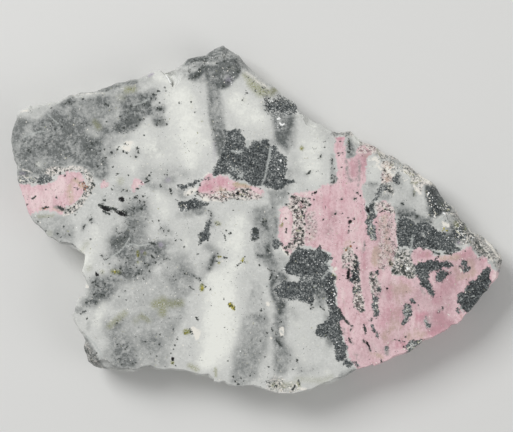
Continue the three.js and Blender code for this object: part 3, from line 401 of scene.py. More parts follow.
# Grey patches in the quartz: an amount, the width of the soft edge and an outline
GREY_PATCHES = [
    # The upper left quarter
    (0.66, 1.6, [
        (-59.6, 12.4), (-60, 16), (-59, 20), (-57.6, 22.4), (-55.6, 24.6), (-51, 26.8), (-47, 27.2),
        (-43, 26), (-41.4, 23.4), (-40, 21), (-38.4, 19.6), (-38.8, 16.4), (-37.4, 14.4), (-37.2, 11),
        (-38.8, 9.6), (-41, 10.6), (-43, 12.6), (-45, 13.4), (-48, 13.2), (-51, 12.6), (-53, 11.6),
        (-57, 10.8), (-59.4, 10.6),
    ]),
    (0.64, 1.8, [
        (-62, 10.4), (-62, 24), (-59.6, 25.6), (-55.6, 24.6), (-57.6, 22.4), (-59, 20), (-60, 16),
        (-59.6, 12.4), (-59.4, 10.6),
    ]),
    (0.55, 1.6, [
        (-53, 26), (-50.6, 28.4), (-47.6, 30), (-44, 30.4), (-40, 30.8), (-37.2, 30.4), (-36.6, 28),
        (-37.6, 25), (-37, 22), (-38.4, 20), (-40, 21), (-41.4, 23.4), (-43, 26), (-47, 27), (-51, 26.6),
    ]),
    (0.2, 2, [
        (-56, 18), (-55, 22.6), (-51, 25.6), (-46, 26), (-43.4, 22.4), (-41.6, 20.6), (-40.6, 18.6),
        (-42.6, 15.6), (-46, 13.8), (-50.6, 14.2), (-52.4, 16.4),
    ]),
    (0.74, 1.6, [
        (-36.6, 22), (-34.8, 24.6), (-34.2, 27), (-34.8, 29.6), (-33, 31.4), (-29, 31.6), (-26, 31.2),
        (-25.2, 29.8), (-26.4, 28.4), (-26.2, 26.6), (-28.4, 25.2), (-29.6, 23), (-31.4, 22), (-33.4, 21.6),
        (-35, 21.4),
    ]),
    (0.36, 1.4, [
        (-41, 31), (-38.4, 33), (-34, 34.6), (-30, 34), (-28.8, 32), (-34.6, 30.6), (-36.8, 28), (-40, 28),
    ]),
    (0.42, 1.2, [(-29, 29.6), (-26.4, 29.6), (-24.6, 31.6), (-25.4, 33), (-28.4, 32.2)]),
    (0.18, 2, [
        (-61, 24), (-57, 24.2), (-54, 25.6), (-51, 26.6), (-50, 28.6), (-54, 28.2), (-58, 27), (-60.4, 25.8),
    ]),
    (0.44, 2, [
        (-40, 20), (-37, 20.4), (-35.4, 22.6), (-34.2, 26), (-34.6, 30), (-37.4, 30.6), (-37, 26),
        (-38.6, 22),
    ]),
    # Below and right of the left pink
    (0.3, 1.6, [
        (-57.4, 1), (-54.6, 1), (-51, 1), (-47.4, 0.6), (-45.6, -1.6), (-45.6, -6.8), (-48.4, -6.4),
        (-53, -4.4), (-56.6, -1),
    ]),
    (0.06, 2, [
        (-46, 2), (-44, 5), (-42, 8), (-38, 8), (-34, 8.8), (-29, 8.4), (-28, 4), (-30, 1), (-33.4, -0.4),
        (-37, -1.4), (-41, 0.6),
    ]),
    (0.52, 3, [
        (-33.4, 3.4), (-30.8, 5), (-27.6, 3.8), (-26.6, 0), (-28, -3), (-27, -5.6), (-23.6, -6.6),
        (-22.4, -9.4), (-25.6, -11.6), (-27.4, -15), (-33, -15.6), (-37.6, -15), (-37, -12), (-33.6, -10.6),
        (-36.8, -9), (-38.2, -5.4), (-36, -3.2), (-33.8, -1),
    ]),
    (0.7, 2.4, [
        (-42.6, -15.4), (-40.6, -14.2), (-37.6, -14.4), (-35.4, -15.6), (-36.2, -18.4), (-38, -20.4),
        (-40, -22), (-43.8, -22.2), (-44, -20.6), (-42.4, -19.6), (-42, -18),
    ]),
    (0.3, 2, [(-37.2, -9.4), (-36.8, -5), (-33, -3), (-29.6, -4.6), (-30.4, -9.4), (-34, -10)]),
    (0.22, 3, [(-40, 21.4), (-36, 20.8), (-34.4, 17), (-35, 12), (-37.6, 9.6), (-39, 12), (-39, 18)]),
    (0.6, 0.8, [(-16.8, 2.8), (-12.9, 3.3), (-12.8, 2.2), (-13.6, 0.9), (-15.2, 0.9), (-16.4, 1.8)]),
    (0.4, 1.6, [(-28.4, -5.2), (-25, -5.4), (-22, -5), (-20.8, -6.4), (-22.6, -7.6), (-25, -8.4), (-28, -8)]),
    (0.3, 2, [(-37.6, -15), (-34.6, -14.6), (-33.6, -16.4), (-35.6, -19), (-37.4, -21), (-39.4, -20.4)]),
    (0.22, 2, [
        (-37, -14.6), (-30, -14.6), (-22, -13), (-16, -10), (-15.6, -14), (-17, -19), (-20, -21), (-26, -22),
        (-31, -23), (-36, -23), (-38, -20),
    ]),
    (0.26, 1.8, [
        (-24.6, -10), (-21, -8), (-17.6, -9), (-15.6, -13), (-15.8, -17.6), (-18, -19.4), (-21.4, -18.6),
        (-22, -16), (-24, -14),
    ]),
    # The lower left quarter
    (0.34, 2.2, [
        (-39, -25), (-35, -24), (-30, -23.4), (-26, -22), (-20, -19.4), (-17.6, -21), (-18.4, -25),
        (-20.4, -28), (-21.6, -32), (-22.4, -37), (-30, -37.6), (-38, -37.4), (-39.6, -35), (-37.6, -30.6),
        (-38.6, -28),
    ]),
    (0.44, 2.6, [
        (-36.6, -29.6), (-34, -28.6), (-31.6, -31), (-30, -33.6), (-30.4, -37), (-34, -37.8), (-37, -37),
        (-35.8, -33.6),
    ]),
    (0.26, 1.6, [(-29.4, -28.4), (-26.6, -27.8), (-24, -29.4), (-23.6, -32.6), (-26.4, -33.4), (-29, -32.4)]),
    (0.56, 0.8, [
        (-43.4, -29.4), (-42.2, -30), (-40.6, -33), (-39, -36), (-37.6, -37.8), (-41, -37.4), (-43.6, -35.4),
        (-44.2, -32),
    ]),
    # The lower middle
    (0.2, 1.6, [
        (-1.4, -15.4), (0.4, -15.6), (1.6, -18), (2, -23), (2.4, -25), (-3.4, -25), (-2.6, -21), (-1.8, -18),
    ]),
    (0.42, 2, [
        (-3.6, -24.6), (2, -23.6), (3.2, -26), (3, -30), (2.4, -33), (0.6, -36), (0, -39.4), (-3.4, -41.6),
        (-6.6, -41), (-6.4, -36), (-6.6, -34), (-5, -31.6), (-4.4, -28),
    ]),
    (0.2, 1.6, [(-6.2, -32), (0.2, -32), (0.2, -36), (-2, -39), (-5.6, -38)]),
    (0.84, 1.5, [
        (3, -12.6), (4.6, -13), (6, -13), (7.6, -14.4), (8.2, -15.4), (5, -16), (4, -17), (4.2, -18.6),
        (5, -19.8), (6.6, -19.8), (7, -21), (6.4, -23.6), (5.4, -24), (4.6, -21.6), (3.2, -19), (3, -16.6),
        (3.2, -14.6),
    ]),
    (0.54, 1.8, [
        (4.4, -20), (7, -20.4), (7.6, -24), (7.2, -28), (6.6, -31.4), (4.4, -31.8), (3.2, -29), (4, -26),
        (4.6, -23),
    ]),
    (0.54, 2, [(4.2, -30.8), (6.6, -31), (8.2, -33), (8.2, -36), (7.2, -38.8), (4.6, -39), (3.8, -36)]),
    # Between the ore and its leg
    (0.72, 1.2, [(14, -16.2), (17.4, -16.2), (17.6, -18.8), (16.8, -19.8), (15, -20), (13.8, -19.4)]),
    (0.36, 1.6, [(14, -18.6), (17.4, -18.6), (17.6, -21), (16.4, -22.4), (14.4, -22)]),
    (0.35, 1.6, [(17, -24.6), (18.8, -24), (18.8, -26), (16.6, -26.4)]),
    (0.35, 1.6, [(16.4, -29.4), (18.6, -29), (19.4, -32), (18.2, -32), (17, -30.8)]),
    # The middle
    (0.48, 1.4, [
        (-0.6, 2.4), (1.6, 3.4), (4.4, 4.4), (5, 2), (5.2, -2), (4.8, -5), (4, -7.6), (4.8, -10),
        (5.2, -12.6), (3.4, -13), (1.2, -11), (-0.4, -10), (-1, -6), (-1, -2),
    ]),
    (0.28, 1.4, [(3, -8.5), (6, -8.8), (7.8, -10.4), (6.6, -12.6), (5, -12.8)]),
    (0.42, 1.2, [(2.4, 7.2), (5, 7.4), (7.4, 6.8), (7.6, 5), (6.8, 3.6), (5, 3.4), (3, 4)]),
    # The peak, the band below it and the tail of the rough ore
    (0.76, 1, [
        (-13.2, 37.4), (-12.8, 38.4), (-10.6, 38.6), (-10.2, 39.3), (-8, 39.8), (-6.2, 40.3), (-4.6, 39.4),
        (-3.8, 38.2), (-4.2, 36.6), (-4.6, 35.6), (-5.4, 34.9), (-6.2, 34.1), (-7, 33), (-8.2, 32.4),
        (-9.6, 32.5), (-10.2, 33.2), (-11.5, 34.2), (-13, 35),
    ]),
    (0.54, 0.8, [
        (-18.8, 38.2), (-17, 40.6), (-13, 41.4), (-11.4, 43), (-9, 44.2), (-7.4, 43.6), (-4.6, 41.2),
        (-2.6, 38.6), (-2.2, 37), (-3.4, 37.4), (-4.6, 39.2), (-8, 39.6), (-12.6, 39.2), (-15, 39.4),
    ]),
    (0.6, 0.7, [(-18.6, 38.2), (-17.4, 40.2), (-13, 41), (-12, 41), (-12.4, 40), (-14.4, 39.4), (-16.6, 39)]),
    (0.84, 0.9, [
        (-17.3, 36.2), (-15.4, 36.9), (-13.6, 38.4), (-12.2, 38.4), (-13.4, 36.5), (-14.6, 35.3),
        (-15.6, 34.5), (-16.8, 34.7),
    ]),
    (0.34, 1.6, [(-20, 38.6), (-18.6, 35.4), (-14, 33.8), (-12.6, 35.2), (-13.4, 38.6), (-17, 40)]),
    (0.58, 1.4, [
        (-13.2, 34.8), (-12.7, 33), (-12.5, 30), (-12.3, 27), (-12, 24), (-11.4, 22), (-11.2, 19.6),
        (-10.6, 16.6), (-9.4, 14.6), (-8, 17), (-7.8, 21), (-8, 23), (-8.4, 26), (-8.6, 29), (-9.2, 31.6),
        (-9, 33.4), (-11, 34.6),
    ]),
    (0.5, 1.2, [(-11.2, 22.6), (-9, 22.6), (-8, 20), (-8.6, 17), (-9.6, 16.4), (-10.6, 19)]),
    (0.3, 0.9, [
        (-16.4, 38.2), (-15.4, 37.6), (-12.6, 38), (-10, 39.2), (-10.4, 40.2), (-13, 39.4), (-16, 39),
    ]),
    (0.76, 2, [
        (3.6, 26.4), (8.8, 26.4), (9, 24.4), (8.4, 22), (8.2, 20.6), (8, 18.4), (7.6, 16.6), (5, 18.8),
        (4.4, 20.4), (4.2, 22.6), (3.8, 24.6),
    ]),
    # The quartz east of the pink
    (0.42, 1.4, [(22.4, 19), (23.8, 19), (24.8, 16.2), (23.8, 14.8), (22.4, 15), (21.9, 16.6)]),
    (0.55, 1.2, [
        (34.4, -0.6), (34.8, 1.4), (37, 2.2), (39, 1.6), (41, 0.6), (43.6, -0.2), (44, -1.6), (40, -1.2),
        (37, -0.4),
    ]),
    (0.95, 1.2, [
        (41.8, 8.6), (44.6, 8.2), (46.4, 6.2), (47, 4), (49, 2.9), (48.4, 1.8), (45, 0.4), (42.8, 0.2),
        (43, 3), (42, 5.4),
    ]),
    (0.4, 1.4, [(46, 7.2), (47.2, 4.4), (49.2, 3), (49.6, 1), (51.6, -0.6), (50, 3), (47.6, 6)]),
    (0.2, 1.4, [(52, -4), (57, -4), (61, -9), (61, -13), (59, -12), (56, -9.4), (53, -7)]),
    (0.86, 1, [
        (47, -2.6), (49, -1.4), (51, 0), (52.6, -2), (53.4, -4), (52.4, -5.8), (50.4, -6.6), (48.6, -5.6),
    ]),
    (0.24, 1.2, [
        (21.8, 21.6), (23.6, 21.8), (23.6, 20), (24.4, 18.6), (24.6, 16.8), (23.9, 15.6), (22.8, 15),
        (22.3, 16.2), (22, 18), (21.9, 20),
    ]),
    (0.24, 1.2, [(26.2, 8.4), (27.4, 9.4), (29, 8.8), (29.6, 6.6), (28.6, 4.4), (27.2, 4.2), (26.4, 5.6)]),
    (0.16, 2.2, [(33.4, 7.6), (36, 9), (39, 6.4), (42, 3.6), (43, 0.4), (40, -0.4), (37, 1), (34.4, 2.2)]),
    (0.34, 1.2, [
        (43.6, 0.8), (46, 1.2), (48.6, 1), (50.4, 0), (50, -2), (48, -3.2), (45.8, -2.8), (44.4, -1.6),
    ]),
    (0.56, 1, [
        (52.6, -4.8), (54, -4), (56.6, -5), (58.6, -7), (59.6, -9), (58, -10), (56, -9.4), (54.6, -8),
        (53.4, -6.8),
    ]),
    (0.28, 1.6, [
        (24, 22), (28, 19), (34, 16), (41, 11), (46, 6.6), (52, -2), (50, -1), (44.6, 6), (39, 10.6),
        (34, 13.6), (30, 16), (26, 18.6),
    ]),
    (0.45, 1, [
        (34.2, -8), (36, -7.6), (38.6, -8), (39, -10.6), (39.6, -13.6), (38.6, -14.8), (36.4, -14),
        (34.2, -13.6), (34, -11),
    ]),
]

# Bright, clear white quartz
WHITE = [
    (0.25, -38.2, 6.2, 1.6), (0.35, -32.2, 4.2, 1.4),
    (0.75, -19.5, 31, 4, -18, 24, 5.4, -16.5, 18, 5, -17, 14.6, 2.6),
    (0.7, -5, 29.4, 3.4, -2, 26.2, 4, 0.4, 24.6, 2.6), (0.6, 14, 20.5, 3.8, 13, 15.5, 4.4, 14.5, 10.6, 3),
    (0.5, -28, 20, 3.4, -25, 15, 3.4), (1, -9, -16, 4.2, -9.4, -24, 5, -10.6, -33, 4.6, -13, -36, 2.4),
    (0.65, -7, -6, 3, -5, -1, 3.2, -5.5, -11, 2.8), (0.3, 11, -27, 3.4, 11, -34, 3),
    (0.5, -42.4, -9.6, 2.4, -40.4, -5, 2.8, -41, -2.4, 1.8), (0.4, -38.6, -21.6, 1.6, -40, -26, 2),
    (0.6, -25, 35.8, 1.8, -22.8, 34.8, 1.6), (0.7, -34.6, 17.8, 1.2, -31.6, 18.6, 1.2),
    (0.45, 29.2, 12.6, 1.7, 28.8, 10.2, 1.5), (0.7, 25.2, 20.2, 1.6), (0.45, -34.5, 15, 2.2, -31, 13.4, 2.2),
    (0.5, -24.4, 5, 2.4, -23, 2, 2.4), (0.4, -19.4, -2.6, 2.2, -17.6, -6.6, 1.8),
    (0.5, 37.6, 12, 1.4, 41, 8.6, 1), (0.6, 46, 0.6, 1.2, 45, -0.8, 1), (0.5, 17.4, -38.4, 1.2),
    (0.45, -54.2, 13.8, 1.6), (0.2, -59, 26, 1.4, -56, 26.8, 1), (0.45, -42.2, 22, 1.2, -40.2, 21, 1.1),
    (0.5, -44.6, -6.6, 1, -43.2, -13, 1.2),
]

# Cream and white lines and spots
CREAM = [
    (0.8, -59, 26.8, 0.35, -57.4, 27.2, 0.4), (0.7, -58.8, 12.4, 0.24, -57.4, 12.1, 0.2, -56.2, 11.4, 0.16),
    (0.45, -46.4, 30.9, 0.24, -43, 31.4, 0.2, -38.6, 31.5, 0.24),
    (0.3, -38.2, -11, 0.2, -36.3, -9.3, 0.24, -34.6, -8.2, 0.28, -33.4, -7, 0.24, -32, -4.8, 0.2),
    (0.45, -32.8, -6.7, 0.16, -29.7, -6.7, 0.16, -26.9, -6.2, 0.14), (1, -33.4, 17.9, 0.6, -32.2, 17.5, 0.7),
    (0.9, -33, 19.2, 0.4, -31.6, 18.9, 0.7), (0.8, -17.8, 6.2, 0.7, -16.4, 6.9, 0.8, -15.4, 7.6, 0.5),
    (1, -13.4, 5, 0.5, -12.4, 4.7, 0.4), (0.9, -11, 4.7, 0.3, -9.4, 4.5, 0.25),
    (0.9, -13.5, 10.5, 0.16, -12.8, 11.2, 0.2, -12.2, 11.5, 0.18), (0.5, 6.1, 0.4, 0.25, 5.9, -1, 0.3),
    (0.4, 6.1, -2.8, 0.25, 5.8, -4.4, 0.3),
    (1, 5.3, -6.2, 0.2, 6.4, -7.8, 0.26, 7.7, -9.1, 0.24, 8.2, -8.4, 0.22),
    (0.9, 28, 14.9, 0.5, 29.4, 15.1, 0.6, 30.2, 14.4, 0.5), (0.8, 29.8, 13.6, 0.34, 30.9, 12.4, 0.4),
    (0.9, 32.4, 13, 0.6, 33, 11.8, 0.7, 34, 11, 0.6), (0.8, 39.2, 8.4, 0.5, 39.8, 7.4, 0.5, 40.8, 6.2, 0.4),
    (0.8, 36.6, 12.2, 0.6, 38.6, 11.2, 0.6), (0.7, 30.6, 16.8, 0.6, 31.8, 16, 0.6),
    (0.8, 46, -1, 0.6, 47.6, -1.6, 0.6), (1, -16.2, -27.2, 0.5, -15.3, -28.4, 1.1, -15.2, -29.8, 0.6),
    (1, 2.6, -21.2, 0.6), (1, 6, -27.6, 0.7, 6.1, -28.8, 0.5), (0.7, 3.4, -29.8, 0.4),
    (0.8, -43.4, -16.4, 0.5, -42.4, -17, 0.4), (0.7, -45, -19.6, 0.3, -44.2, -19.5, 0.3),
    (0.7, 19.4, -16.2, 0.2, 19.6, -15, 0.2), (0.9, 19.6, -12.4, 0.5, 19, -12.9, 0.4), (0.9, 37.6, -12.4, 0.6),
    (0.7, 50.7, -12.6, 0.35, 51, -13.2, 0.3), (0.6, 10.2, -42.2, 0.6, 12, -42.6, 0.5),
    (0.4, -2.6, 36.6, 0.6, 0.2, 34.4, 0.8, 3.4, 32.4, 0.7),
    (0.9, 56.6, -4.8, 0.3, 58.6, -6.8, 0.34, 60.2, -9.4, 0.3),
    (0.8, 55.8, -6, 0.24, 57.8, -8.6, 0.3, 58.9, -10.6, 0.24), (0.6, 59.2, -11.4, 0.4),
    (0.8, 48.8, 3.6, 0.5, 50.6, 1.8, 0.6, 51.2, 0.2, 0.5), (0.7, 40.6, 10.6, 0.7, 43.4, 8.9, 0.5),
    (0.7, 53, -2.6, 0.4, 54.6, -4, 0.3),
]

# Olive and yellow-green stains
OLIVE = [
    (0.45, -40.7, 24.3, 0.9, -39.8, 23, 1.1), (0.2, -16.6, 30.8, 0.5, -16.4, 27.8, 0.6),
    (0.55, -32.6, 32.3, 1.1, -31, 32.4, 1), (0.26, -34, 30.4, 1.4), (0.4, -34.2, 9.5, 1.2),
    (0.75, -30, -8, 0.4, -29.8, -9.2, 0.4), (0.65, -29.9, -10.8, 0.4), (0.6, -28.2, -8.6, 0.6),
    (0.7, -36.2, -13.1, 0.7, -34.6, -13.3, 0.6), (0.4, -38.8, -13.2, 0.8),
    (0.55, -25.6, -21.4, 1.4, -23.6, -20.6, 1.6, -23.8, -23.4, 1.4),
    (0.5, -21.2, -21.2, 1.3, -19.2, -21, 1.2), (0.45, -33.2, -23.6, 1.1, -35, -25, 1.1, -37, -26.8, 1),
    (0.45, -29, -24.3, 0.9, -27.2, -25.3, 0.9), (0.3, -30.4, -25.4, 1.2),
    (0.5, -17, -36.6, 0.8, -15.2, -37.6, 0.9), (0.55, -10.5, -37.4, 0.5, -10.4, -39.4, 0.4),
    (0.5, -3.2, 36, 0.9, -1.6, 34.4, 1.4, 1, 32.2, 1.6, 3.4, 31.4, 1.1), (0.25, -2, 33.4, 1, 0.6, 31, 1.2),
    (0.4, -5.4, 8.9, 0.5, -3, 8.7, 0.5), (0.2, -3.4, 29.8, 1), (0.6, 4.2, 32.4, 0.9), (1, 11.1, 17.7, 0.42),
    (0.4, 11.1, 17.7, 0.8), (0.6, -10.3, -0.9, 0.6, -9.4, -1.2, 0.5),
    (0.75, -9.8, -9.3, 0.4, -9.2, -9.4, 0.3), (0.7, -9.6, -10.9, 0.4),
    (0.7, -3.5, -9.8, 0.4, -3.9, -10.6, 0.4), (0.4, -2.6, -10.8, 0.5),
    (1, -13.9, -16.6, 0.6, -13.9, -17.6, 0.6), (0.95, -17.8, -28.2, 0.9, -17.2, -28.2, 0.7),
    (0.9, -21.3, -35.9, 0.5), (0.7, 2.6, -21.3, 0.3), (0.5, 45.6, 3.2, 0.8, 47.6, 2.5, 0.5),
    (0.55, 50.6, -3.2, 1.5, 51.4, -2, 0.9), (0.5, 49.6, -1, 0.8, 51.6, -2.6, 0.8),
    (0.5, 38.6, 9.1, 0.5, 39.6, 8.9, 0.4), (0.4, 39.2, 7, 0.4, 39.3, 5.8, 0.3),
    (0.5, 33, -10.4, 0.6, 33.3, -11.4, 0.6), (0.6, 18.6, -14, 0.5, 19.6, -14.5, 0.4),
    (0.8, 5.9, -1.7, 0.5, 6.3, -1, 0.3), (0.4, 50.6, -12.4, 0.5), (0.4, 22.1, -7.7, 0.6, 23.2, -6.8, 0.5),
    (0.6, 10.2, -41.2, 0.5, 10.6, -42.2, 0.4), (0.35, 4, -41.6, 1.2, 8.6, -41.4, 1.2),
    (0.3, 18.6, -39.4, 0.8, 16, -40.4, 1.2, 10, -40, 1), (0.3, -42.2, -12.4, 1.2),
    (0.3, -42.6, -6, 1, -44, -8, 0.8), (0.4, -51.2, 0.8, 0.5, -54.8, 0.6, 0.6), (0.3, -52, -3.6, 1),
]

# Tan and beige in and beside the pink
TAN = [
    (0.8, 32.4, 13.4, 1.2, 32.4, 9.8, 1.2), (0.55, -50.8, 11.6, 0.7, -51.8, 10.9, 0.5),
    (0.75, -46.9, 8.2, 0.9, -46.7, 6.2, 1.2, -46.6, 4.6, 0.9), (0.8, -45.4, 9.6, 0.9, -44, 8.2, 1),
    (0.5, -44.8, 5.8, 0.8), (0.6, -54.6, 2.4, 0.5, -51.6, 2.6, 0.5, -48.4, 1.9, 0.4),
    (0.7, -10, 7.2, 0.9, -8, 7.2, 0.9), (1, -5.8, 8.6, 0.7, -4, 8.5, 0.9, -2.2, 8.3, 0.7),
    (0.6, 31.6, 0, 1.6, 32.4, -4, 1.9, 32, -8.6, 1.9), (0.8, 29.6, -8, 1.3, 29.6, -11, 1.5),
    (0.6, 35, -17.6, 2.4, 38, -18, 1.6), (0.45, 35, -21, 1.6, 34, -26, 1.6),
    (0.65, 53.4, -11, 1.4, 54, -13.4, 1.2, 50.4, -14.6, 1.2), (0.7, 46, -9.8, 0.9, 50, -9.6, 1),
    (0.55, 49.4, -12.6, 1.2), (0.45, 31.4, -30, 1.6, 35, -26.6, 1.6), (0.6, 22.4, -6.4, 1.2, 22.8, -5.6, 0.8),
    (0.75, 32.6, 13.8, 1.6, 33, 11.8, 1.2), (0.45, 34.6, 14.6, 1.4, 30.8, 15.8, 1.4), (0.55, 31.6, 9.8, 0.9),
    (0.5, 58.4, -7.4, 1.6, 60.2, -10, 1.2), (0.5, 19, -12.6, 0.6, 19.6, -14.8, 0.5),
    (0.5, 38, -29.6, 1.8, 41.4, -28.8, 1.4), (0.3, 51.2, -24.4, 0.8),
    (0.35, 14.6, -2.2, 0.9, 13.4, -4.6, 0.9), (0.55, 28.6, -33.6, 1, 31.2, -34.4, 1),
    (0.4, 28.6, 8.4, 1, 26.8, 4.6, 0.7), (0.45, 27, 15.8, 0.7, 29.4, 16.4, 0.7), (0.4, 42.4, -9, 0.9),
]

# Deeper rose
ROSE = [
    (0.9, -13.4, 7.4, 0.9, -12.2, 8, 0.9), (0.6, -10.6, 9.6, 1.1, -8, 9, 1.1),
    (0.6, -6.2, 7.8, 0.6, -5.4, 7.4, 0.5), (0.8, 20.2, 20.2, 0.6, 21.4, 20.3, 0.5),
    (0.3, 20.6, 14, 0.8, 21.2, 9, 1, 22, 4, 1.2), (0.6, 23.8, 13.8, 0.7, 24, 11, 0.6),
    (0.5, 26.6, 15.4, 0.8, 26.4, 12.4, 0.5), (0.9, 28.8, 17.8, 0.9, 27.4, 17.6, 0.8), (0.7, 25.6, 17.2, 0.6),
    (0.3, 17.6, 5.8, 1.8, 17.8, 0, 2), (0.3, 25.2, 3, 1.2, 25.4, -2.4, 1.2),
    (0.25, 21.4, -1.6, 1, 20.8, -6, 0.9), (0.45, 26.8, -8.8, 0.6, 26.8, -12.4, 0.6),
    (0.25, 21.8, -17, 1, 22.2, -22, 1.1), (0.7, 40.6, -8.9, 1, 43, -9, 0.7),
    (0.5, 52.6, -8.6, 1, 50.6, -9.4, 0.8), (0.6, 48.4, -15.6, 1.4, 46.6, -17.6, 1.4, 44.8, -20.6, 1.2),
    (0.8, 40.4, -24.6, 1.3, 42, -24, 1), (0.9, 45.4, -24.6, 1.8, 47.4, -26, 1.6, 43.6, -28.4, 1.2),
    (0.5, 35.6, -24, 1.8, 33.4, -22.4, 1.6, 31.6, -26, 1.2), (0.5, 34.8, -31.4, 1.4, 37, -31.2, 1),
    (0.6, 33.2, -17.4, 0.8, 33, -19.4, 0.8), (0.6, 57.4, -10.4, 0.7, 56.4, -10.4, 0.7),
    (0.25, 58.9, -15.4, 0.7),
]

# Paler pink
PALE = [
    (0.7, -58.8, 6, 1.8, -53, 5.2, 2.4, -50, 8, 2), (0.8, -49.4, 6.6, 1.4, -48.8, 9.4, 1.2),
    (0.7, -56, 3.4, 1.4, -52.6, 3.8, 1.2), (0.9, -30.2, 8.6, 1.4), (0.8, -38.4, 8.6, 1.2),
    (0.5, -14, 6.2, 0.7, -11.4, 5.6, 0.7), (0.9, 7.2, 2, 1.4, 7.2, -2.2, 1.2, 7.2, -4.8, 1),
    (0.8, 10, 6.4, 0.7, 13.6, 6.2, 0.7), (0.5, 20.6, 17, 0.9, 20.6, 12, 0.8, 21.4, 6, 1),
    (0.4, 15.8, 6.6, 1.2, 16, 2.6, 1.4), (0.55, 13.4, 1.6, 1.2, 13.6, -4, 1.4, 15.4, -6, 1),
    (0.75, 24.8, 1.6, 1.6, 24.6, -3.6, 1.6), (0.45, 21.6, -18, 0.9, 22, -24, 0.9, 23.8, -29, 1),
    (0.8, -13, 11, 0.5, -12.2, 11.5, 0.5), (1, 59.6, -13.2, 1, 59.2, -15, 0.8),
    (0.5, -0.6, 7.2, 0.8, 0.8, 6.9, 0.7), (0.75, 24.6, -6, 1.6, 26.6, -7.2, 1.4),
    (0.3, 20.6, -10.6, 0.9, 20.8, -14.4, 0.8, 21.2, -19.6, 0.9, 22.6, -24, 1),
    (0.35, 22.8, -32.6, 0.9, 25.4, -35, 1.2), (0.9, 43.7, -13.8, 0.5, 43.7, -14.8, 0.5, 44, -16.2, 0.4),
    (0.6, 28.6, -30.6, 1, 30.4, -33.6, 1), (0.6, 35.4, -28.6, 1.8, 40, -28, 1.4, 34, -15.4, 1.4),
    (0.5, 32, 2.6, 0.9, 31, 3.6, 0.7), (0.5, 42.8, -21.8, 1.2, 41.6, -18.4, 0.9),
    (0.5, 31.4, -20.4, 0.8, 31.6, -14, 1), (0.4, 50.2, -12, 1.2, 47, -9.6, 0.8),
]

# Lilac-blue casts, mostly where quartz passes into ore
LILAC = [
    (0.4, -59.2, 11.4, 0.6, -58.2, 11.3, 0.5), (0.6, -27, 35.9, 0.6, -26.2, 36.3, 0.5),
    (0.5, -22.4, 9.8, 0.9), (0.6, -24.2, -6.4, 0.8), (0.6, -28.8, -8.2, 0.6),
    (0.3, -10.8, 19, 0.7, -10.8, 14.6, 0.7), (0.4, 3.4, 13.2, 0.7, 3.2, 10.4, 0.8),
    (0.8, 45.4, 6.9, 0.7, 44.6, 5.8, 0.7), (0.6, 50.4, -5.9, 0.6), (0.5, 35.4, -11.4, 0.7),
    (0.4, -7.2, 34.8, 1.3), (0.5, 60.8, -10.8, 0.5, 60.6, -12.8, 0.5),
    (0.4, 18.4, -16.6, 0.7, 18.2, -18.4, 0.7),
]
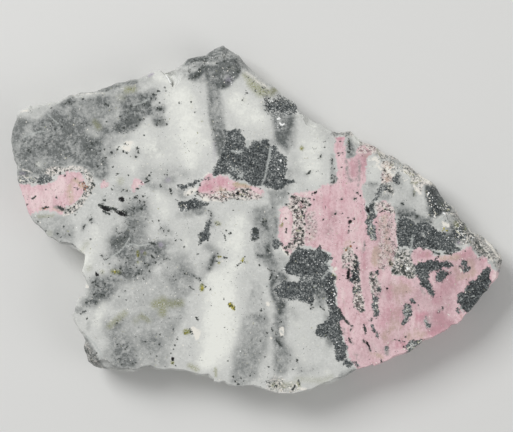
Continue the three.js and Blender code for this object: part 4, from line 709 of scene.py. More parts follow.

# Dark grains with a crisp edge, and a thin painted shadow along the flake's step at the notch: chains of
# discs x, y, radius
GRAINS_AND_STEP_SHADOW = [
    # Round the left pink
    (-42, 10, 0.24), (-41.3, 8.9, 0.3), (-40.9, 8.5, 0.36), (-41.4, 7.8, 0.3), (-41.7, 6.5, 0.26),
    (-43.4, 6.1, 0.28), (-43.9, 3.8, 0.28), (-44.7, 4.2, 0.32), (-45.8, 3, 0.3), (-46.8, 2, 0.28),
    (-47.4, 2.3, 0.34), (-48, 1.6, 0.28), (-45.6, 1, 0.22), (-50.7, 12.2, 0.26, -50.2, 12.1, 0.2),
    (-49.4, 11.4, 0.34), (-48.1, 10.8, 0.24), (-45.5, 10.1, 0.2), (-44, 11.5, 0.26), (-45, 7.5, 0.28),
    (-49.6, 2.9, 0.4, -48.6, 2.4, 0.34), (-53.6, 2.6, 0.24, -52.9, 2.9, 0.3, -52.3, 3, 0.2),
    (-56.4, 5, 0.2, -55.9, 5.3, 0.24, -55.5, 5.7, 0.2), (-57.6, 3.6, 0.26), (-50.3, 5.4, 0.26),
    (-52.9, 7.5, 0.16), (-57.2, 17.3, 0.3), (-56.8, 16.7, 0.26), (-51.8, 23.2, 0.22), (-50.6, 22.4, 0.22),
    (-48.9, 23.1, 0.34),
    # Round the long open hole
    (-39.7, 3.5, 0.3, -38.8, 3.3, 0.38), (-37.9, 3.1, 0.3, -36.6, 2.6, 0.34, -35.4, 2.4, 0.34),
    (-33.6, 2, 0.32, -32.7, 1.4, 0.28), (-38.6, 1.9, 0.28, -37, 1.2, 0.26),
    # The grey quarter and its right edge
    (-41.4, 18.8, 0.4), (-41.8, 17.6, 0.34), (-40.4, 19.2, 0.22), (-40, 13.1, 0.26), (-38, 15.3, 0.28),
    (-38.6, 14.5, 0.2), (-38.3, 17.4, 0.24), (-39.3, 17, 0.2), (-40.3, 16.6, 0.18), (-36.5, 16.6, 0.36),
    (-35, 17.3, 0.3), (-33.5, 16.8, 0.34), (-32.7, 16.5, 0.3), (-33.1, 18.8, 0.3), (-32.4, 18.5, 0.16),
    (-34.6, 18, 0.16), (-36.1, 13, 0.2), (-35, 11.2, 0.26), (-32.2, 10.9, 0.18), (-34.3, 25.6, 0.26),
    (-32.8, 24.8, 0.24), (-38.1, 28.7, 0.26), (-37.3, 28.3, 0.18), (-37.8, 24.4, 0.16), (-48, 28.8, 0.2),
    (-47, 29.2, 0.3), (-46.4, 28.7, 0.2), (-43.6, 30, 0.2), (-51.5, 27.8, 0.2), (-30, 17.7, 0.4),
    (-29.8, 16.6, 0.24), (-30.4, 15.5, 0.28), (-28.3, 21, 0.26), (-24.9, 32, 0.26, -24.5, 31.9, 0.2),
    (-23.1, 32.9, 0.2), (-22.9, 32, 0.18), (-26, 31.1, 0.34), (-25.3, 31, 0.16), (-24.5, 29.1, 0.24),
    (-29.2, 29.1, 0.3), (-28.4, 28.6, 0.26), (-31.6, 28.2, 0.28), (-26.6, 30, 0.3), (-22.7, 23.6, 0.22),
    (-19.6, 29, 0.2, -19.1, 29, 0.14), (-16.6, 29.2, 0.2), (-25, 27.6, 0.3, -24.2, 27.4, 0.36),
    (-24.5, 24.6, 0.2), (-25.2, 23.5, 0.2), (-17.2, 35, 0.2), (-17.1, 36.9, 0.24), (-29.4, 24.8, 0.3),
    (-28.4, 25, 0.24), (-33.4, 22.8, 0.34), (-30.3, 23.3, 0.24),
    # The peak
    (-6.4, 41.5, 0.26), (-8.4, 39.5, 0.26), (-7.1, 38, 0.3), (-5.2, 39.6, 0.28), (-4.4, 39.2, 0.22),
    (-4.9, 36.8, 0.34), (-4.2, 37.4, 0.26), (-10.2, 38.9, 0.24), (-12.2, 41.2, 0.22), (-11.3, 41.2, 0.18),
    (-11, 42.4, 0.16), (-16.4, 39.6, 0.22), (-17.4, 39, 0.2), (-15.2, 40.3, 0.18), (-14.3, 40.2, 0.22),
    (-13.2, 39.6, 0.26), (-18.2, 38.5, 0.24), (-14.4, 37.3, 0.3), (-13.6, 37.9, 0.24), (-15.6, 35.6, 0.36),
    (-14.6, 36.2, 0.3), (-3.4, 38.2, 0.22), (-2.9, 37, 0.16), (-2.2, 35.4, 0.16), (-1, 34.4, 0.16),
    # The last chain on the next line is a thin painted shadow along the flake's step at the notch
    (1.2, 32.8, 0.2), (2.3, 31.6, 0.18), (-22.5, 35.4, 0.08, -21.9, 34.4, 0.1, -21.6, 33.7, 0.08),
    (-8.6, 33.2, 0.4), (-7.4, 34.2, 0.26), (-43.6, 9.2, 0.2, -43.3, 8.8, 0.16), (-43.1, 7.9, 0.24),
    (-43.4, 7.2, 0.2), (-44.4, 9, 0.16),
    # Upper right of the middle
    (-3.7, 29.9, 0.16, -3.7, 29.5, 0.14), (-3, 31.4, 0.14, -2.4, 31.6, 0.12), (-0.5, 32.1, 0.24),
    (0.6, 31.3, 0.14), (1.7, 32.7, 0.16), (16.8, 18, 0.24), (15.9, 16, 0.16, 15.7, 15.5, 0.2),
    (13.1, 12, 0.2, 13, 11.5, 0.24, 12.3, 11.2, 0.16), (14.3, 6.5, 0.28, 14.8, 6.8, 0.2), (13.7, 6.4, 0.14),
    (7.7, 6.4, 0.2), (12.5, 7.3, 0.14), (18.7, 15, 0.16, 18.6, 13.8, 0.18), (19.2, 12.6, 0.16),
    (18.6, 11, 0.26), (18.7, 10.2, 0.24), (19.2, 9.5, 0.26, 19, 9, 0.2), (19.4, 10.6, 0.2), (19.9, 10, 0.2),
    (18.5, 10.2, 0.2), (20.2, 16.5, 0.2), (20.3, 15.9, 0.18), (21.3, 16.6, 0.14), (21, 12.9, 0.18),
    (23.2, 21.4, 0.2, 22.9, 20.2, 0.2, 22.9, 18.4, 0.16, 23.1, 17.4, 0.26), (22.8, 16.7, 0.34),
    (20.6, 19.3, 0.18), (21, 4.9, 0.22), (21.2, 1.4, 0.16), (19.5, 1.3, 0.34), (25, 6.6, 0.3),
    (25.7, 5.8, 0.2), (24.1, 4.9, 0.2, 24.7, 5.2, 0.2), (24.1, 0, 0.34), (22.6, 0.4, 0.18), (22.9, -1.9, 0.2),
    (22.8, -2.6, 0.1, 22.8, -3.2, 0.16), (22.7, -3.5, 0.16), (24.1, -5.9, 0.18), (24.8, -7.3, 0.18),
    (26.9, -6.6, 0.2),
    # The pale column
    (9.3, 2.1, 0.32), (9.7, 3.8, 0.32), (13, 3.6, 0.4), (12.1, 4.3, 0.3), (11.1, 2, 0.3, 11.2, 1.4, 0.28),
    (11.6, 0.7, 0.32), (11.8, -1.3, 0.36), (10.7, -2.3, 0.42), (11.2, -4.2, 0.42), (9.5, -4.8, 0.32),
    (10.3, -5.3, 0.32), (11.4, -6.2, 0.34), (9.2, -1, 0.28), (10, 0.6, 0.3), (8.8, 3, 0.24), (10.3, 2.9, 0.2),
    (11.3, -2.9, 0.3, 11.6, -3.4, 0.24), (10.3, -6.5, 0.32), (9.2, -6, 0.26), (8.8, -3.2, 0.22),
    (10.2, -3.6, 0.24), (9.8, -1.8, 0.2), (10.9, -0.4, 0.2), (11.9, 2.9, 0.2),
    (7.2, -2.4, 0.18, 7.2, -3.4, 0.24), (7, 0.1, 0.24), (7.2, 3.6, 0.3), (8.5, 5.6, 0.3, 9.2, 5.5, 0.2),
    (13, 5.1, 0.2), (14.1, 4.8, 0.2), (14.6, -2, 0.18), (16.5, 0, 0.2), (15.6, -6.8, 0.28),
    (6.8, -7.2, 0.3, 7.8, -7, 0.26), (7.1, -8.2, 0.28, 7.6, -8.7, 0.3), (6.2, -6.6, 0.26),
    (8.2, -6.1, 0.24, 7.8, -6.2, 0.2),
    # The lens
    (-17.4, 6, 0.24), (-16.5, 6.6, 0.18), (-15.5, 5.8, 0.2), (-15.1, 6.8, 0.28), (-14.9, 6.2, 0.18),
    (-16.1, 8.2, 0.2), (-14.4, 8.4, 0.22, -14.3, 8.8, 0.14), (-12.2, 9.8, 0.18), (-11.6, 5.2, 0.2),
    (-11.5, 6.8, 0.16), (-10.7, 6.8, 0.16), (-7, 6.1, 0.24), (-7.4, 6.6, 0.16), (-8.1, 7.3, 0.14),
    (-9.1, 4.8, 0.2), (-9.6, 4.9, 0.14), (-8, 5, 0.16), (-3.6, 6.9, 0.34), (-4.2, 7.4, 0.2),
    (-2.6, 6.5, 0.28), (-2.9, 5.6, 0.18), (-3.9, 5.8, 0.26), (-1.6, 5.7, 0.16), (-2.2, 7.6, 0.2),
    (-1.6, 7.4, 0.16), (-0.8, 6.7, 0.14), (0.7, 7.6, 0.2), (-12.2, 2, 0.2),
    (-11.5, 1.5, 0.2, -11.7, 0.8, 0.16), (-5.9, 5.7, 0.26),
    # Left of the middle
    (-27.1, 10.9, 0.32), (-26.6, 11.6, 0.14), (-27.9, 10.2, 0.2, -27.2, 9.5, 0.24, -28.2, 9.1, 0.2),
    (-29, 9.2, 0.2), (-30.3, 7.5, 0.2, -29.8, 7.6, 0.16), (-30.6, 5.4, 0.3, -30, 5.2, 0.16),
    (-30.1, 5.8, 0.24), (-28.6, 5.7, 0.24), (-29.4, 4.5, 0.26), (-28.3, 4.3, 0.26), (-28.3, 3.5, 0.24),
    (-32, 5.2, 0.16), (-31.9, 4.7, 0.16), (-33.5, 7.3, 0.26), (-32.6, 7, 0.28), (-36.4, 7.5, 0.24),
    (-38.3, 4.7, 0.34), (-38.5, 4, 0.2), (-38.2, 5.7, 0.16), (-30.8, 2.6, 0.3), (-29, 2.6, 0.36),
    (-24.3, 8.6, 0.16, -24.1, 8.2, 0.24), (-21.8, 7.4, 0.32, -21.7, 6.9, 0.26), (-21.6, 6.3, 0.24),
    (-24.6, -0.4, 0.22), (-26.2, -0.5, 0.16), (-24.1, -2.3, 0.24), (-23.4, -2.8, 0.2), (-22.2, -3, 0.24),
    (-20.4, -5.4, 0.18), (-19.1, -5.3, 0.16), (-27, -6, 0.2, -25.6, -6.2, 0.28), (-25.4, -8.5, 0.26),
    (-26.6, -9, 0.2, -26.2, -9.5, 0.24, -25.7, -9.8, 0.16), (-23.4, -10.1, 0.2), (-22.6, -9.7, 0.14),
    (-21.9, -10.1, 0.18), (-25.4, -10.9, 0.26), (-28.2, -11.2, 0.26), (-27.3, -11.6, 0.2), (-27, -13.1, 0.26),
    (-29.6, -13.6, 0.34), (-30.2, -12.2, 0.2), (-28.5, -14.9, 0.2), (-34.2, -12.4, 0.28), (-32.5, -9.8, 0.24),
    (-32.9, -10.9, 0.22), (-30.9, -2.1, 0.26), (-30.7, -2.9, 0.2), (-31.8, -5.4, 0.24), (-33.2, -4.6, 0.26),
    (-35.2, -2.5, 0.2), (-39, -9.2, 0.24),
    (-38.6, -9.8, 0.1, -38.2, -10.3, 0.1, -37.4, -9.9, 0.12, -36.9, -9.6, 0.1), (-37, -11.2, 0.2),
    (-43.2, -1.6, 0.2, -43.6, -2.4, 0.2), (-41.9, -0.4, 0.22, -41.4, 0, 0.14), (-41.5, -1, 0.14),
    (-41.8, -5.1, 0.18), (-48.4, -1.9, 0.2), (-47.1, -4, 0.24), (-50, -3.7, 0.26), (-54.9, -0.6, 0.2),
    (-53, -3.1, 0.24), (-52.2, 0.3, 0.16), (-46.6, -6.3, 0.2, -45.6, -6.9, 0.12),
    (-40.6, -15.6, 0.14, -41.4, -15.9, 0.2), (-40.4, -13.4, 0.2), (-38.9, -13.5, 0.14), (-38.2, -16.2, 0.3),
    (-39.6, -17, 0.26), (-40.4, -16.6, 0.2), (-39, -18.9, 0.3), (-38.3, -19.2, 0.2), (-40.9, -18.8, 0.2),
    (-42.8, -20.9, 0.3), (-41.8, -20.5, 0.2), (-40.4, -20.8, 0.24), (-43.6, -23.3, 0.2, -43, -23, 0.16),
    (-44.2, -23.8, 0.18), (-42.6, -24.9, 0.24), (-33, -18, 0.18), (-34.7, -19.4, 0.16), (-32.9, -20.3, 0.2),
    (-18.3, -7, 0.2), (-14.9, -8.7, 0.24), (-20.4, -15.3, 0.18), (-21, -14.4, 0.12), (-18.1, -13.7, 0.26),
    (-17.2, -13.9, 0.14), (-15.9, -14.3, 0.18), (-15.2, -14.8, 0.18), (-14.5, -14.9, 0.14),
    (-14.2, -15.4, 0.24), (-13, -16.9, 0.22), (-13.7, -16.3, 0.14), (-11.8, -17.6, 0.26),
    (-16.9, -16.9, 0.16, -16.6, -17.3, 0.12), (-15.9, -17.6, 0.14),
    # The centre and below it
    (-7.2, -3.8, 0.16, -6.7, -3.5, 0.24), (-7.8, -2.9, 0.2), (-8.3, -4, 0.14, -8, -4.8, 0.16),
    (-7.9, -5.3, 0.12), (-10.3, -1.1, 0.2), (-9.6, -1.4, 0.2), (-8.4, -9.7, 0.22, -7.6, -9.7, 0.16),
    (-5, -11.6, 0.24), (-5.4, -11.9, 0.14), (-10.9, -9.7, 0.22), (-11.3, -10.6, 0.24), (-11.7, -11.6, 0.2),
    (-12.1, -12.4, 0.2), (-9.9, -8.6, 0.18), (-3.2, -9.4, 0.18), (-4.3, -11, 0.16), (-3.2, -10.8, 0.14),
    (-10.1, -10.6, 0.14), (0.5, -11.5, 0.26), (0.1, -9.1, 0.2), (1.2, -9.2, 0.16),
    (-0.5, -2.4, 0.26, -0.9, -3.4, 0.3, 0.1, -3.4, 0.3), (-1.1, -4.7, 0.26, -0.6, -5.3, 0.22),
    (0.2, -4.7, 0.3), (1.4, -0.8, 0.3), (2.2, -0.6, 0.26), (2.2, -2.5, 0.18), (2.7, -7, 0.2),
    (2.6, -7.8, 0.36), (3.8, 2.8, 0.16), (-6.1, 2.2, 0.12), (2.5, -12.4, 0.1, 3.4, -12.9, 0.12),
    (4.3, -12.9, 0.18), (3.7, -13.7, 0.14, 3.1, -15, 0.2), (4.7, -14.5, 0.24), (2.3, -16.8, 0.18),
    (0.9, -22.7, 0.28), (1.7, -25, 0.2), (-8.4, -20, 0.16), (-8.2, -27.1, 0.14),
    (3.6, -27.4, 0.2, 3.8, -27.9, 0.16), (2.4, -28.5, 0.22), (-1.5, -30.2, 0.18), (0.8, -30.5, 0.22),
    (5.2, -27.3, 0.16), (5.9, -25.7, 0.26), (4.6, -30.2, 0.18, 5.2, -30.7, 0.24, 5.7, -31.5, 0.26),
    (6.1, -29.4, 0.2), (1.8, -34.4, 0.2), (2.8, -37, 0.2), (9.8, -35.2, 0.18), (9.9, -35.9, 0.18),
    (-1.9, -39.1, 0.24), (-0.8, -38.6, 0.12), (-4.2, -39.7, 0.32), (-6, -39.4, 0.28), (-5.5, -40.6, 0.26),
    (-4.8, -41.3, 0.26), (-3.4, -40.5, 0.2), (5.5, -41.2, 0.28), (4.2, -40.6, 0.2), (4.6, -41.8, 0.22),
    (8.7, -42.7, 0.28, 9.4, -41.7, 0.2), (10.2, -40.4, 0.18, 10.6, -41.4, 0.16), (4.2, -37.8, 0.14),
    (8.8, -37.6, 0.16), (11, -38, 0.14), (13.9, -37.6, 0.14), (-7.4, -35.4, 0.16), (-16.7, -28.2, 0.34),
    (-16.3, -28.7, 0.2), (-16.9, -27.5, 0.16), (-15.4, -24.5, 0.2, -14.9, -25.3, 0.2), (-21.1, -27.6, 0.24),
    (-20.1, -30, 0.18), (-20.6, -31.6, 0.2), (-21, -32.6, 0.16), (-21.7, -33.6, 0.16), (-20.5, -36.7, 0.18),
    (-25.2, -34.4, 0.2), (-40.3, -33.5, 0.24), (-42.7, -31, 0.22), (-43, -29.5, 0.22), (-42.9, -34.2, 0.3),
    (-41.8, -34.9, 0.26), (-40.2, -35, 0.3), (-40.6, -36.2, 0.26), (-39.4, -36.6, 0.2), (-24.4, -28.9, 0.22),
    (-28, -30.7, 0.26), (-24.5, -31.3, 0.22), (-35, -31.4, 0.26), (-33, -32.6, 0.2), (-35.2, -26, 0.2),
    (-31.2, -36.2, 0.26), (-34, -36.4, 0.24), (-32.4, -37.4, 0.2),
    # The tongue and the pink's streaks
    (13.5, -21.5, 0.26), (13.3, -22.4, 0.26), (14, -22.2, 0.16), (15.6, -21.9, 0.18, 16.8, -22.8, 0.12),
    (20.5, -22.8, 0.3, 21.2, -24.4, 0.32), (21.6, -24.9, 0.28, 22.8, -26.2, 0.28), (23.6, -26.7, 0.24),
    (23.3, -27.7, 0.26), (20.2, -26.6, 0.2, 21.2, -28.6, 0.2), (22.8, -29.8, 0.16, 23.4, -31, 0.18),
    (24.6, -9.3, 0.28, 24.9, -9.8, 0.2), (24.3, -8.8, 0.16), (22.9, -8.8, 0.26), (22.9, -11.6, 0.24),
    (21.3, -9.5, 0.22, 21.3, -10, 0.18), (21.2, -12, 0.2), (21.5, -14.1, 0.18),
    (24, -10.6, 0.22, 24.7, -10.7, 0.26), (22.9, -10.4, 0.2), (22.1, -9.6, 0.16), (23.4, -9.8, 0.14),
    (24.8, -19.3, 0.2), (24.3, -18.9, 0.16), (25.7, -20, 0.2), (26.4, -20.8, 0.26), (24.9, -21.4, 0.2),
    (25.5, -22, 0.24), (24.1, -22, 0.2), (26.3, -22.7, 0.36), (23.9, -20.6, 0.14), (25.9, -23.2, 0.2),
    (26.6, -26.4, 0.26, 26.9, -27.6, 0.32, 27, -28.6, 0.24), (26.4, -30.2, 0.2, 27, -30.9, 0.2),
    (28, -32.4, 0.12, 28.4, -33.1, 0.1), (28.5, -13.4, 0.2, 28.4, -13.8, 0.2),
    (28, -14.7, 0.14, 28.5, -14.9, 0.16), (29, -15.1, 0.18, 29.5, -14.8, 0.16), (28.9, -15.9, 0.16),
    (28.5, -25.3, 0.2), (29.7, -25, 0.14), (32.4, -17.4, 0.26), (32.5, -7.9, 0.22), (29.7, -0.8, 0.24),
    (30.4, -2.7, 0.2), (32.9, -5, 0.26), (31.8, -3.8, 0.12), (33.6, -0.9, 0.16), (33.8, -1.5, 0.16),
    (30.4, 1.5, 0.12, 31.2, 2, 0.18, 32.2, 2.4, 0.18, 33, 2.2, 0.12), (33.7, 2, 0.18), (31.2, 3.3, 0.14),
    (32.9, 3.2, 0.16), (28.7, 3.5, 0.26), (29.6, 3.2, 0.16), (28.9, 2.7, 0.16), (33.1, 8.2, 0.24),
    (32.8, 7.3, 0.3, 32.9, 6.8, 0.2), (33.7, 7, 0.22), (31.3, 9.8, 0.26), (30.9, 10.2, 0.14),
    (36, 3.9, 0.22, 36.6, 3.7, 0.16), (39, 6.4, 0.12, 39, 5.8, 0.12), (39.9, 0.6, 0.34), (39.3, 2.2, 0.16),
    (43.3, -0.8, 0.2), (31.8, 12.4, 0.16, 32, 11.9, 0.12), (39.1, 12.4, 0.28, 39.4, 11.7, 0.24),
    (39.8, 12.1, 0.2), (38.8, 9.1, 0.16),
    # East
    (33.8, -13, 0.34, 34.4, -12.7, 0.24), (34.4, -13.8, 0.18, 34.9, -13.4, 0.16),
    (36.5, -11.6, 0.22, 36.3, -12.4, 0.26, 36.8, -13.4, 0.3, 37.2, -14.1, 0.22), (35.8, -9.7, 0.28),
    (35.9, -8.8, 0.18), (35, -11.7, 0.24), (38.5, -10.3, 0.2), (37, -10.6, 0.18), (38.6, -14.7, 0.24),
    (37.8, -14.6, 0.16), (33.1, -10.8, 0.24, 33.2, -11.4, 0.2), (35.1, -7.3, 0.22), (38.6, -8.2, 0.18),
    (44, -8.2, 0.3, 45.4, -8.8, 0.26), (46.8, -8.6, 0.24, 48.6, -8.8, 0.2), (44.6, -9.8, 0.24),
    (45.2, -9.6, 0.2), (46.2, -22, 0.16, 46.4, -22.6, 0.16), (45, -23.4, 0.2, 45.4, -23.3, 0.16),
    (37, -29.5, 0.22), (36.6, -31.9, 0.22), (34.2, -30.1, 0.07, 36.9, -30.7, 0.08), (32.3, -32, 0.26),
    (30.8, -35.2, 0.2, 31.1, -35.9, 0.26), (40.2, -21.6, 0.14), (54.9, -6.2, 0.26), (55.7, -6.9, 0.28),
    (56.4, -7.9, 0.3), (55.4, -8.2, 0.22), (57, -8.7, 0.24), (55.4, -9.1, 0.18), (60.4, -10.4, 0.26),
    (60.8, -11.2, 0.3), (60.4, -12.6, 0.26), (51.9, -8, 0.14), (55.6, -10.2, 0.12), (41.1, -10.2, 0.12),
]

# Open holes, painted black inside as their shade: x, y, half length, half width, turn in degrees, depth, in
# millimetres
HOLES = [
    (-37.9, 2.5, 2, 0.62, -25, 0), (-34.1, 1.35, 1.9, 0.68, -24, 0), (-34, 4.95, 1, 0.85, 0, 0),
    (-40.15, -13.85, 0.75, 0.6, -40, 0), (-21.2, -35, 0.8, 0.5, 80, 0), (23.1, -0.7, 0.85, 0.55, 50, 0),
    (22.7, -13.8, 2, 0.56, 87, 0), (27.6, -31.3, 1.3, 0.34, -63, 0), (27.6, 2.2, 1.2, 0.46, -60, 0),
    (-5, 6.45, 0.7, 0.55, 35, 0), (-4.8, 4.95, 0.7, 0.36, -12, 0), (11.2, 4.25, 0.5, 0.4, -50, 0),
    (24.1, -14.1, 0.55, 0.3, 75, 0), (24.95, -23.8, 0.45, 0.28, -40, 0), (13, -3.7, 0.3, 0.22, 60, 0.4),
    (24.4, -15.1, 0.36, 0.18, 10, 0.4), (25.7, 5.8, 0.28, 0.22, 0, 0.3), (14.3, 6.5, 0.42, 0.26, 20, 0.35),
    (32.4, -17.4, 0.3, 0.26, 0, 0.35),
]

# Light lines in grey or dark ground: chains x, y, half width
LIGHT_LINES = [
    (-31.2, 28.4, 0.1, -29.2, 28.9, 0.14, -27, 30.2, 0.12),
    (
        3.2, 17.6, 0.3, 3, 15.6, 0.34, 2.6, 14, 0.28, 2.2, 12.2, 0.2, 1.9, 10.6, 0.18, 1.3, 9.2, 0.16,
        1.1, 8.6, 0.14,
    ),
    (-6.3, 12.8, 0.3, -6.1, 12.2, 0.26), (-4.8, 10.8, 0.34, -4, 10.7, 0.3), (-3.6, 11.6, 0.2),
    (-6.4, 17, 0.3, -4.6, 16.7, 0.34, -3.8, 17, 0.16), (-2.6, 17.9, 0.3, -2.4, 19.4, 0.34),
    (38.8, -4, 0.16, 38.6, -5.8, 0.2, 38.3, -8.4, 0.2), (41.4, -3.6, 0.22, 41.8, -4.4, 0.2),
    (-30.9, 28.5, 0.18, -29.6, 28.9, 0.15, -28.2, 29.3, 0.13, -27, 29.9, 0.1),
    (-58.5, 20.4, 0.12, -57, 21.1, 0.16, -54.2, 21.9, 0.18, -53, 21.9, 0.12),
    (-52.4, 26.2, 0.14, -50.8, 24.6, 0.14, -49.8, 23.8, 0.12),
    (-29, -22.8, 0.12, -27.4, -24.2, 0.14, -26.6, -25.4, 0.12),
    (-38.2, -11, 0.14, -36.3, -9.3, 0.18, -34.6, -8.2, 0.2, -33.4, -7, 0.16, -32, -4.8, 0.12),
    (-32.8, -6.7, 0.18, -31.1, -6.2, 0.18, -29.7, -6.7, 0.18, -28.3, -6.5, 0.16, -26.9, -6.2, 0.14),
    (-43.2, -28.9, 0.16, -40.9, -31, 0.26, -38.8, -34.2, 0.22),
    (56.4, -5.8, 0.2, 58.4, -8.6, 0.22, 59.6, -11.2, 0.2), (57.6, -5.6, 0.14, 59.6, -8.2, 0.16),
    (54.4, -5.2, 0.2, 55.4, -6.4, 0.16), (57.6, -10.2, 0.16, 59, -12.4, 0.16),
    (-9.8, 13.1, 0.18, -9.4, 12.8, 0.14),
    (16.2, -15, 0.24, 16.6, -14.2, 0.18, 17.4, -13.4, 0.22, 18, -12.8, 0.16),
    (16.9, -10.8, 0.2, 17.6, -11.6, 0.22), (12.6, -11.4, 0.26), (14, -10.2, 0.1, 14.4, -10.8, 0.1),
    (13.5, -9.4, 0.14, 14, -9.3, 0.12), (14.2, -16.8, 0.2, 14.8, -16.6, 0.14),
    (-18, 2.6, 0.2, -17.6, 2.3, 0.16), (-19, 2.3, 0.16),
    (50.3, -21.4, 0.16, 51, -22.6, 0.2, 51.5, -23.4, 0.16), (53.5, -19.4, 0.14, 54.1, -19.2, 0.14),
    (53.8, -17.6, 0.16), (50.8, -20.2, 0.14, 51.2, -20, 0.14), (45, -13.9, 0.16),
    (44.3, -8.3, 0.12, 46.6, -8.1, 0.12), (47, -12.6, 0.12, 47.8, -13, 0.12), (-22.6, -6.6, 0.3),
    (-30.2, -2.5, 0.16), (-35.2, -7, 0.2), (-39.3, -14.9, 0.2, -38.9, -15.2, 0.14),
    (5.9, -28, 0.3, 6.4, -28.6, 0.2), (2.2, -16.2, 0.22, 2.8, -16.9, 0.2),
    (-24.9, 31.4, 0.24, -24.3, 31.4, 0.16), (-23.4, 32.1, 0.2), (24.4, 21, 0.4, 26.2, 19.4, 0.4),
    (46.2, 0.2, 0.4, 44.8, -1, 0.3),
]

# Painted highlights: glints of clean crystal faces, and the lit edge of the flake at the notch: chains x, y,
# radius
GLINTS = [
    # A painted highlight along the flake's edge at the notch
    (-23.7, 36.9, 0.14, -22.9, 35.9, 0.15, -22.2, 34.9, 0.14, -21.8, 34, 0.12),
    (5, 25, 0.22, 5.8, 25.15, 0.16, 6.4, 25.3, 0.14), (7.2, 25.4, 0.15),
    (5.6, 24, 0.18, 5.8, 23.7, 0.2, 6.2, 23.5, 0.2, 6.7, 23.8, 0.14), (5.8, 14.6, 0.28),
    (5.3, 12.45, 0.16, 5, 12.5, 0.12), (2.9, 30, 0.12), (3.2, 29.4, 0.18), (4, 28.6, 0.16), (4.5, 27.9, 0.1),
    (6.3, 10.1, 0.1), (6.8, 13.2, 0.12), (-7.4, 12.6, 0.12), (42.7, 6.1, 0.12), (42.4, 5.7, 0.1),
    (45.5, 4.7, 0.16), (43.5, 3.1, 0.15), (44.2, 0.6, 0.16),
    (46.4, 1.5, 0.18, 47.2, 1.3, 0.2, 47.8, 1.4, 0.18), (48.2, 1.8, 0.2), (45, 3, 0.12), (51.8, -5.1, 0.18),
    (51.5, -6.1, 0.15), (49.7, -2.3, 0.12), (47.7, -4.6, 0.14), (47.3, -5.2, 0.1),
    (19.2, -18.6, 0.18, 19.4, -18.9, 0.12), (17.4, -17.6, 0.12), (17.5, -20.4, 0.14), (18, -20.8, 0.1),
    (37.4, -12.2, 0.24, 37.6, -12.6, 0.18), (37.1, -12.9, 0.14), (36.4, -10.3, 0.14), (-6, 36.6, 0.12),
    (-6.6, 34.2, 0.12), (-6.5, 33.6, 0.1), (24.6, -13.5, 0.08), (-13.9, -15.3, 0.12), (-28.5, 9.1, 0.14),
    (19.4, -30, 0.12), (12.7, -11.5, 0.12), (-14.8, 36.9, 0.1),
]

# Mustard grains: chains x, y, radius
MUSTARD = [
    (-6.9, -21.4, 0.55, -6.4, -21.7, 0.55, -5.9, -22.4, 0.4), (-13.8, -17.2, 0.42, -14, -17.7, 0.3),
    (-9.7, -9.4, 0.2, -9.2, -9.5, 0.16), (-9.6, -11, 0.22), (-3.6, -10, 0.18, -3.9, -10.6, 0.2),
    (-30, -8.3, 0.2, -29.8, -9.2, 0.2), (-18.1, -28.6, 0.3), (-21.2, -36, 0.26), (11, 17.7, 0.24),
    (46.6, -2.4, 0.26), (47.4, -2.9, 0.26), (46.2, -3, 0.2), (-35.6, -13.2, 0.26), (18.9, -14, 0.22),
    (-10, -1.4, 0.18),
]

# Brown and orange specks: chains x, y, radius
RUST = [
    (-44.6, 8.5, 0.16), (-43.8, 8.8, 0.18), (-43.3, 9, 0.16), (-43, 8.4, 0.18), (-42.6, 8.1, 0.22),
    (-43.1, 7.5, 0.24), (-42.9, 7, 0.14), (-43.6, 8, 0.14), (23.3, -6.8, 0.3), (22.1, -7.8, 0.26),
    (-9, 6.2, 0.12), (-8.4, 5.7, 0.12), (-7.6, 5.4, 0.12), (-9.8, 6.4, 0.1), (32.1, 13.4, 0.12),
    (33.3, 12.9, 0.12), (-53.1, 2.6, 0.16), (10.9, 3, 0.12), (-4.6, 6.9, 0.14),
]

# Grey smudges over the pink
SMUDGES = [
    (0.6, 22.2, 15, 0.5, 22.5, 11, 0.6, 23, 9.6, 0.8), (0.5, 24.2, 9.8, 0.9),
    (0.6, 25.5, 14.6, 0.4, 25.5, 10.8, 0.5, 25.2, 8.4, 0.5), (0.5, 21, 5.2, 0.6), (0.5, 24.4, 5.1, 0.9),
    (0.45, 19.4, 1.5, 0.9), (0.3, 16.3, 1.6, 0.7), (0.25, 18.2, -2.8, 1.1, 17.4, -3.8, 0.8),
    (0.4, 24.8, 6.8, 0.8), (0.3, 26.6, 6.4, 0.6, 27, 4.6, 0.5), (0.6, 26.8, -5.6, 0.4, 26.5, -8.2, 0.5),
    (0.3, 20.4, 16.4, 0.6, 21.4, 16.4, 0.5), (0.35, 20.8, 19.4, 0.6), (0.35, 12.8, 0.4, 0.7, 13.4, -3.6, 0.7),
    (0.3, -55.8, 5.4, 0.6), (0.3, -50.2, 5.2, 0.6), (0.65, -50.4, 3, 0.7, -48.4, 2.4, 0.8),
    (0.45, 28.6, -13.4, 0.7, 28.6, -17.8, 0.8), (0.55, 29.8, -15.6, 0.7, 30, -18, 0.7),
    (0.6, 29.6, -19.4, 0.9, 29.6, -23.8, 0.9), (0.45, 23.2, -30, 0.4, 23.8, -31.4, 0.4),
    (0.4, 24.6, -33.6, 0.6, 25.4, -35.6, 0.6), (0.45, 26.2, -30.4, 0.5, 28.4, -33, 0.5),
    (0.7, 32.4, -33.6, 0.9, 32.3, -32.2, 0.7), (0.5, 37.4, -22, 1.3, 37, -25.6, 0.9),
    (0.5, 42.2, -25.2, 1.2, 42.8, -26.6, 1.2), (0.5, 40.2, -21.8, 0.5, 40.5, -22.8, 0.4),
    (0.5, 45.4, -22.8, 0.7, 46.3, -22.2, 0.6), (0.5, 51.6, -11, 0.9, 52.2, -12.8, 0.8),
    (0.45, 39.4, -15.4, 0.7, 41.6, -18.4, 0.7), (0.35, 33, -8, 0.6, 32.4, -10, 0.6),
    (0.35, 55.6, -8.6, 1, 55.4, -10.2, 0.6), (0.35, 22.8, -25.9, 0.5, 23.6, -27, 0.5),
    (0.35, 20.9, -24.8, 0.6, 22, -29.6, 0.6),
]

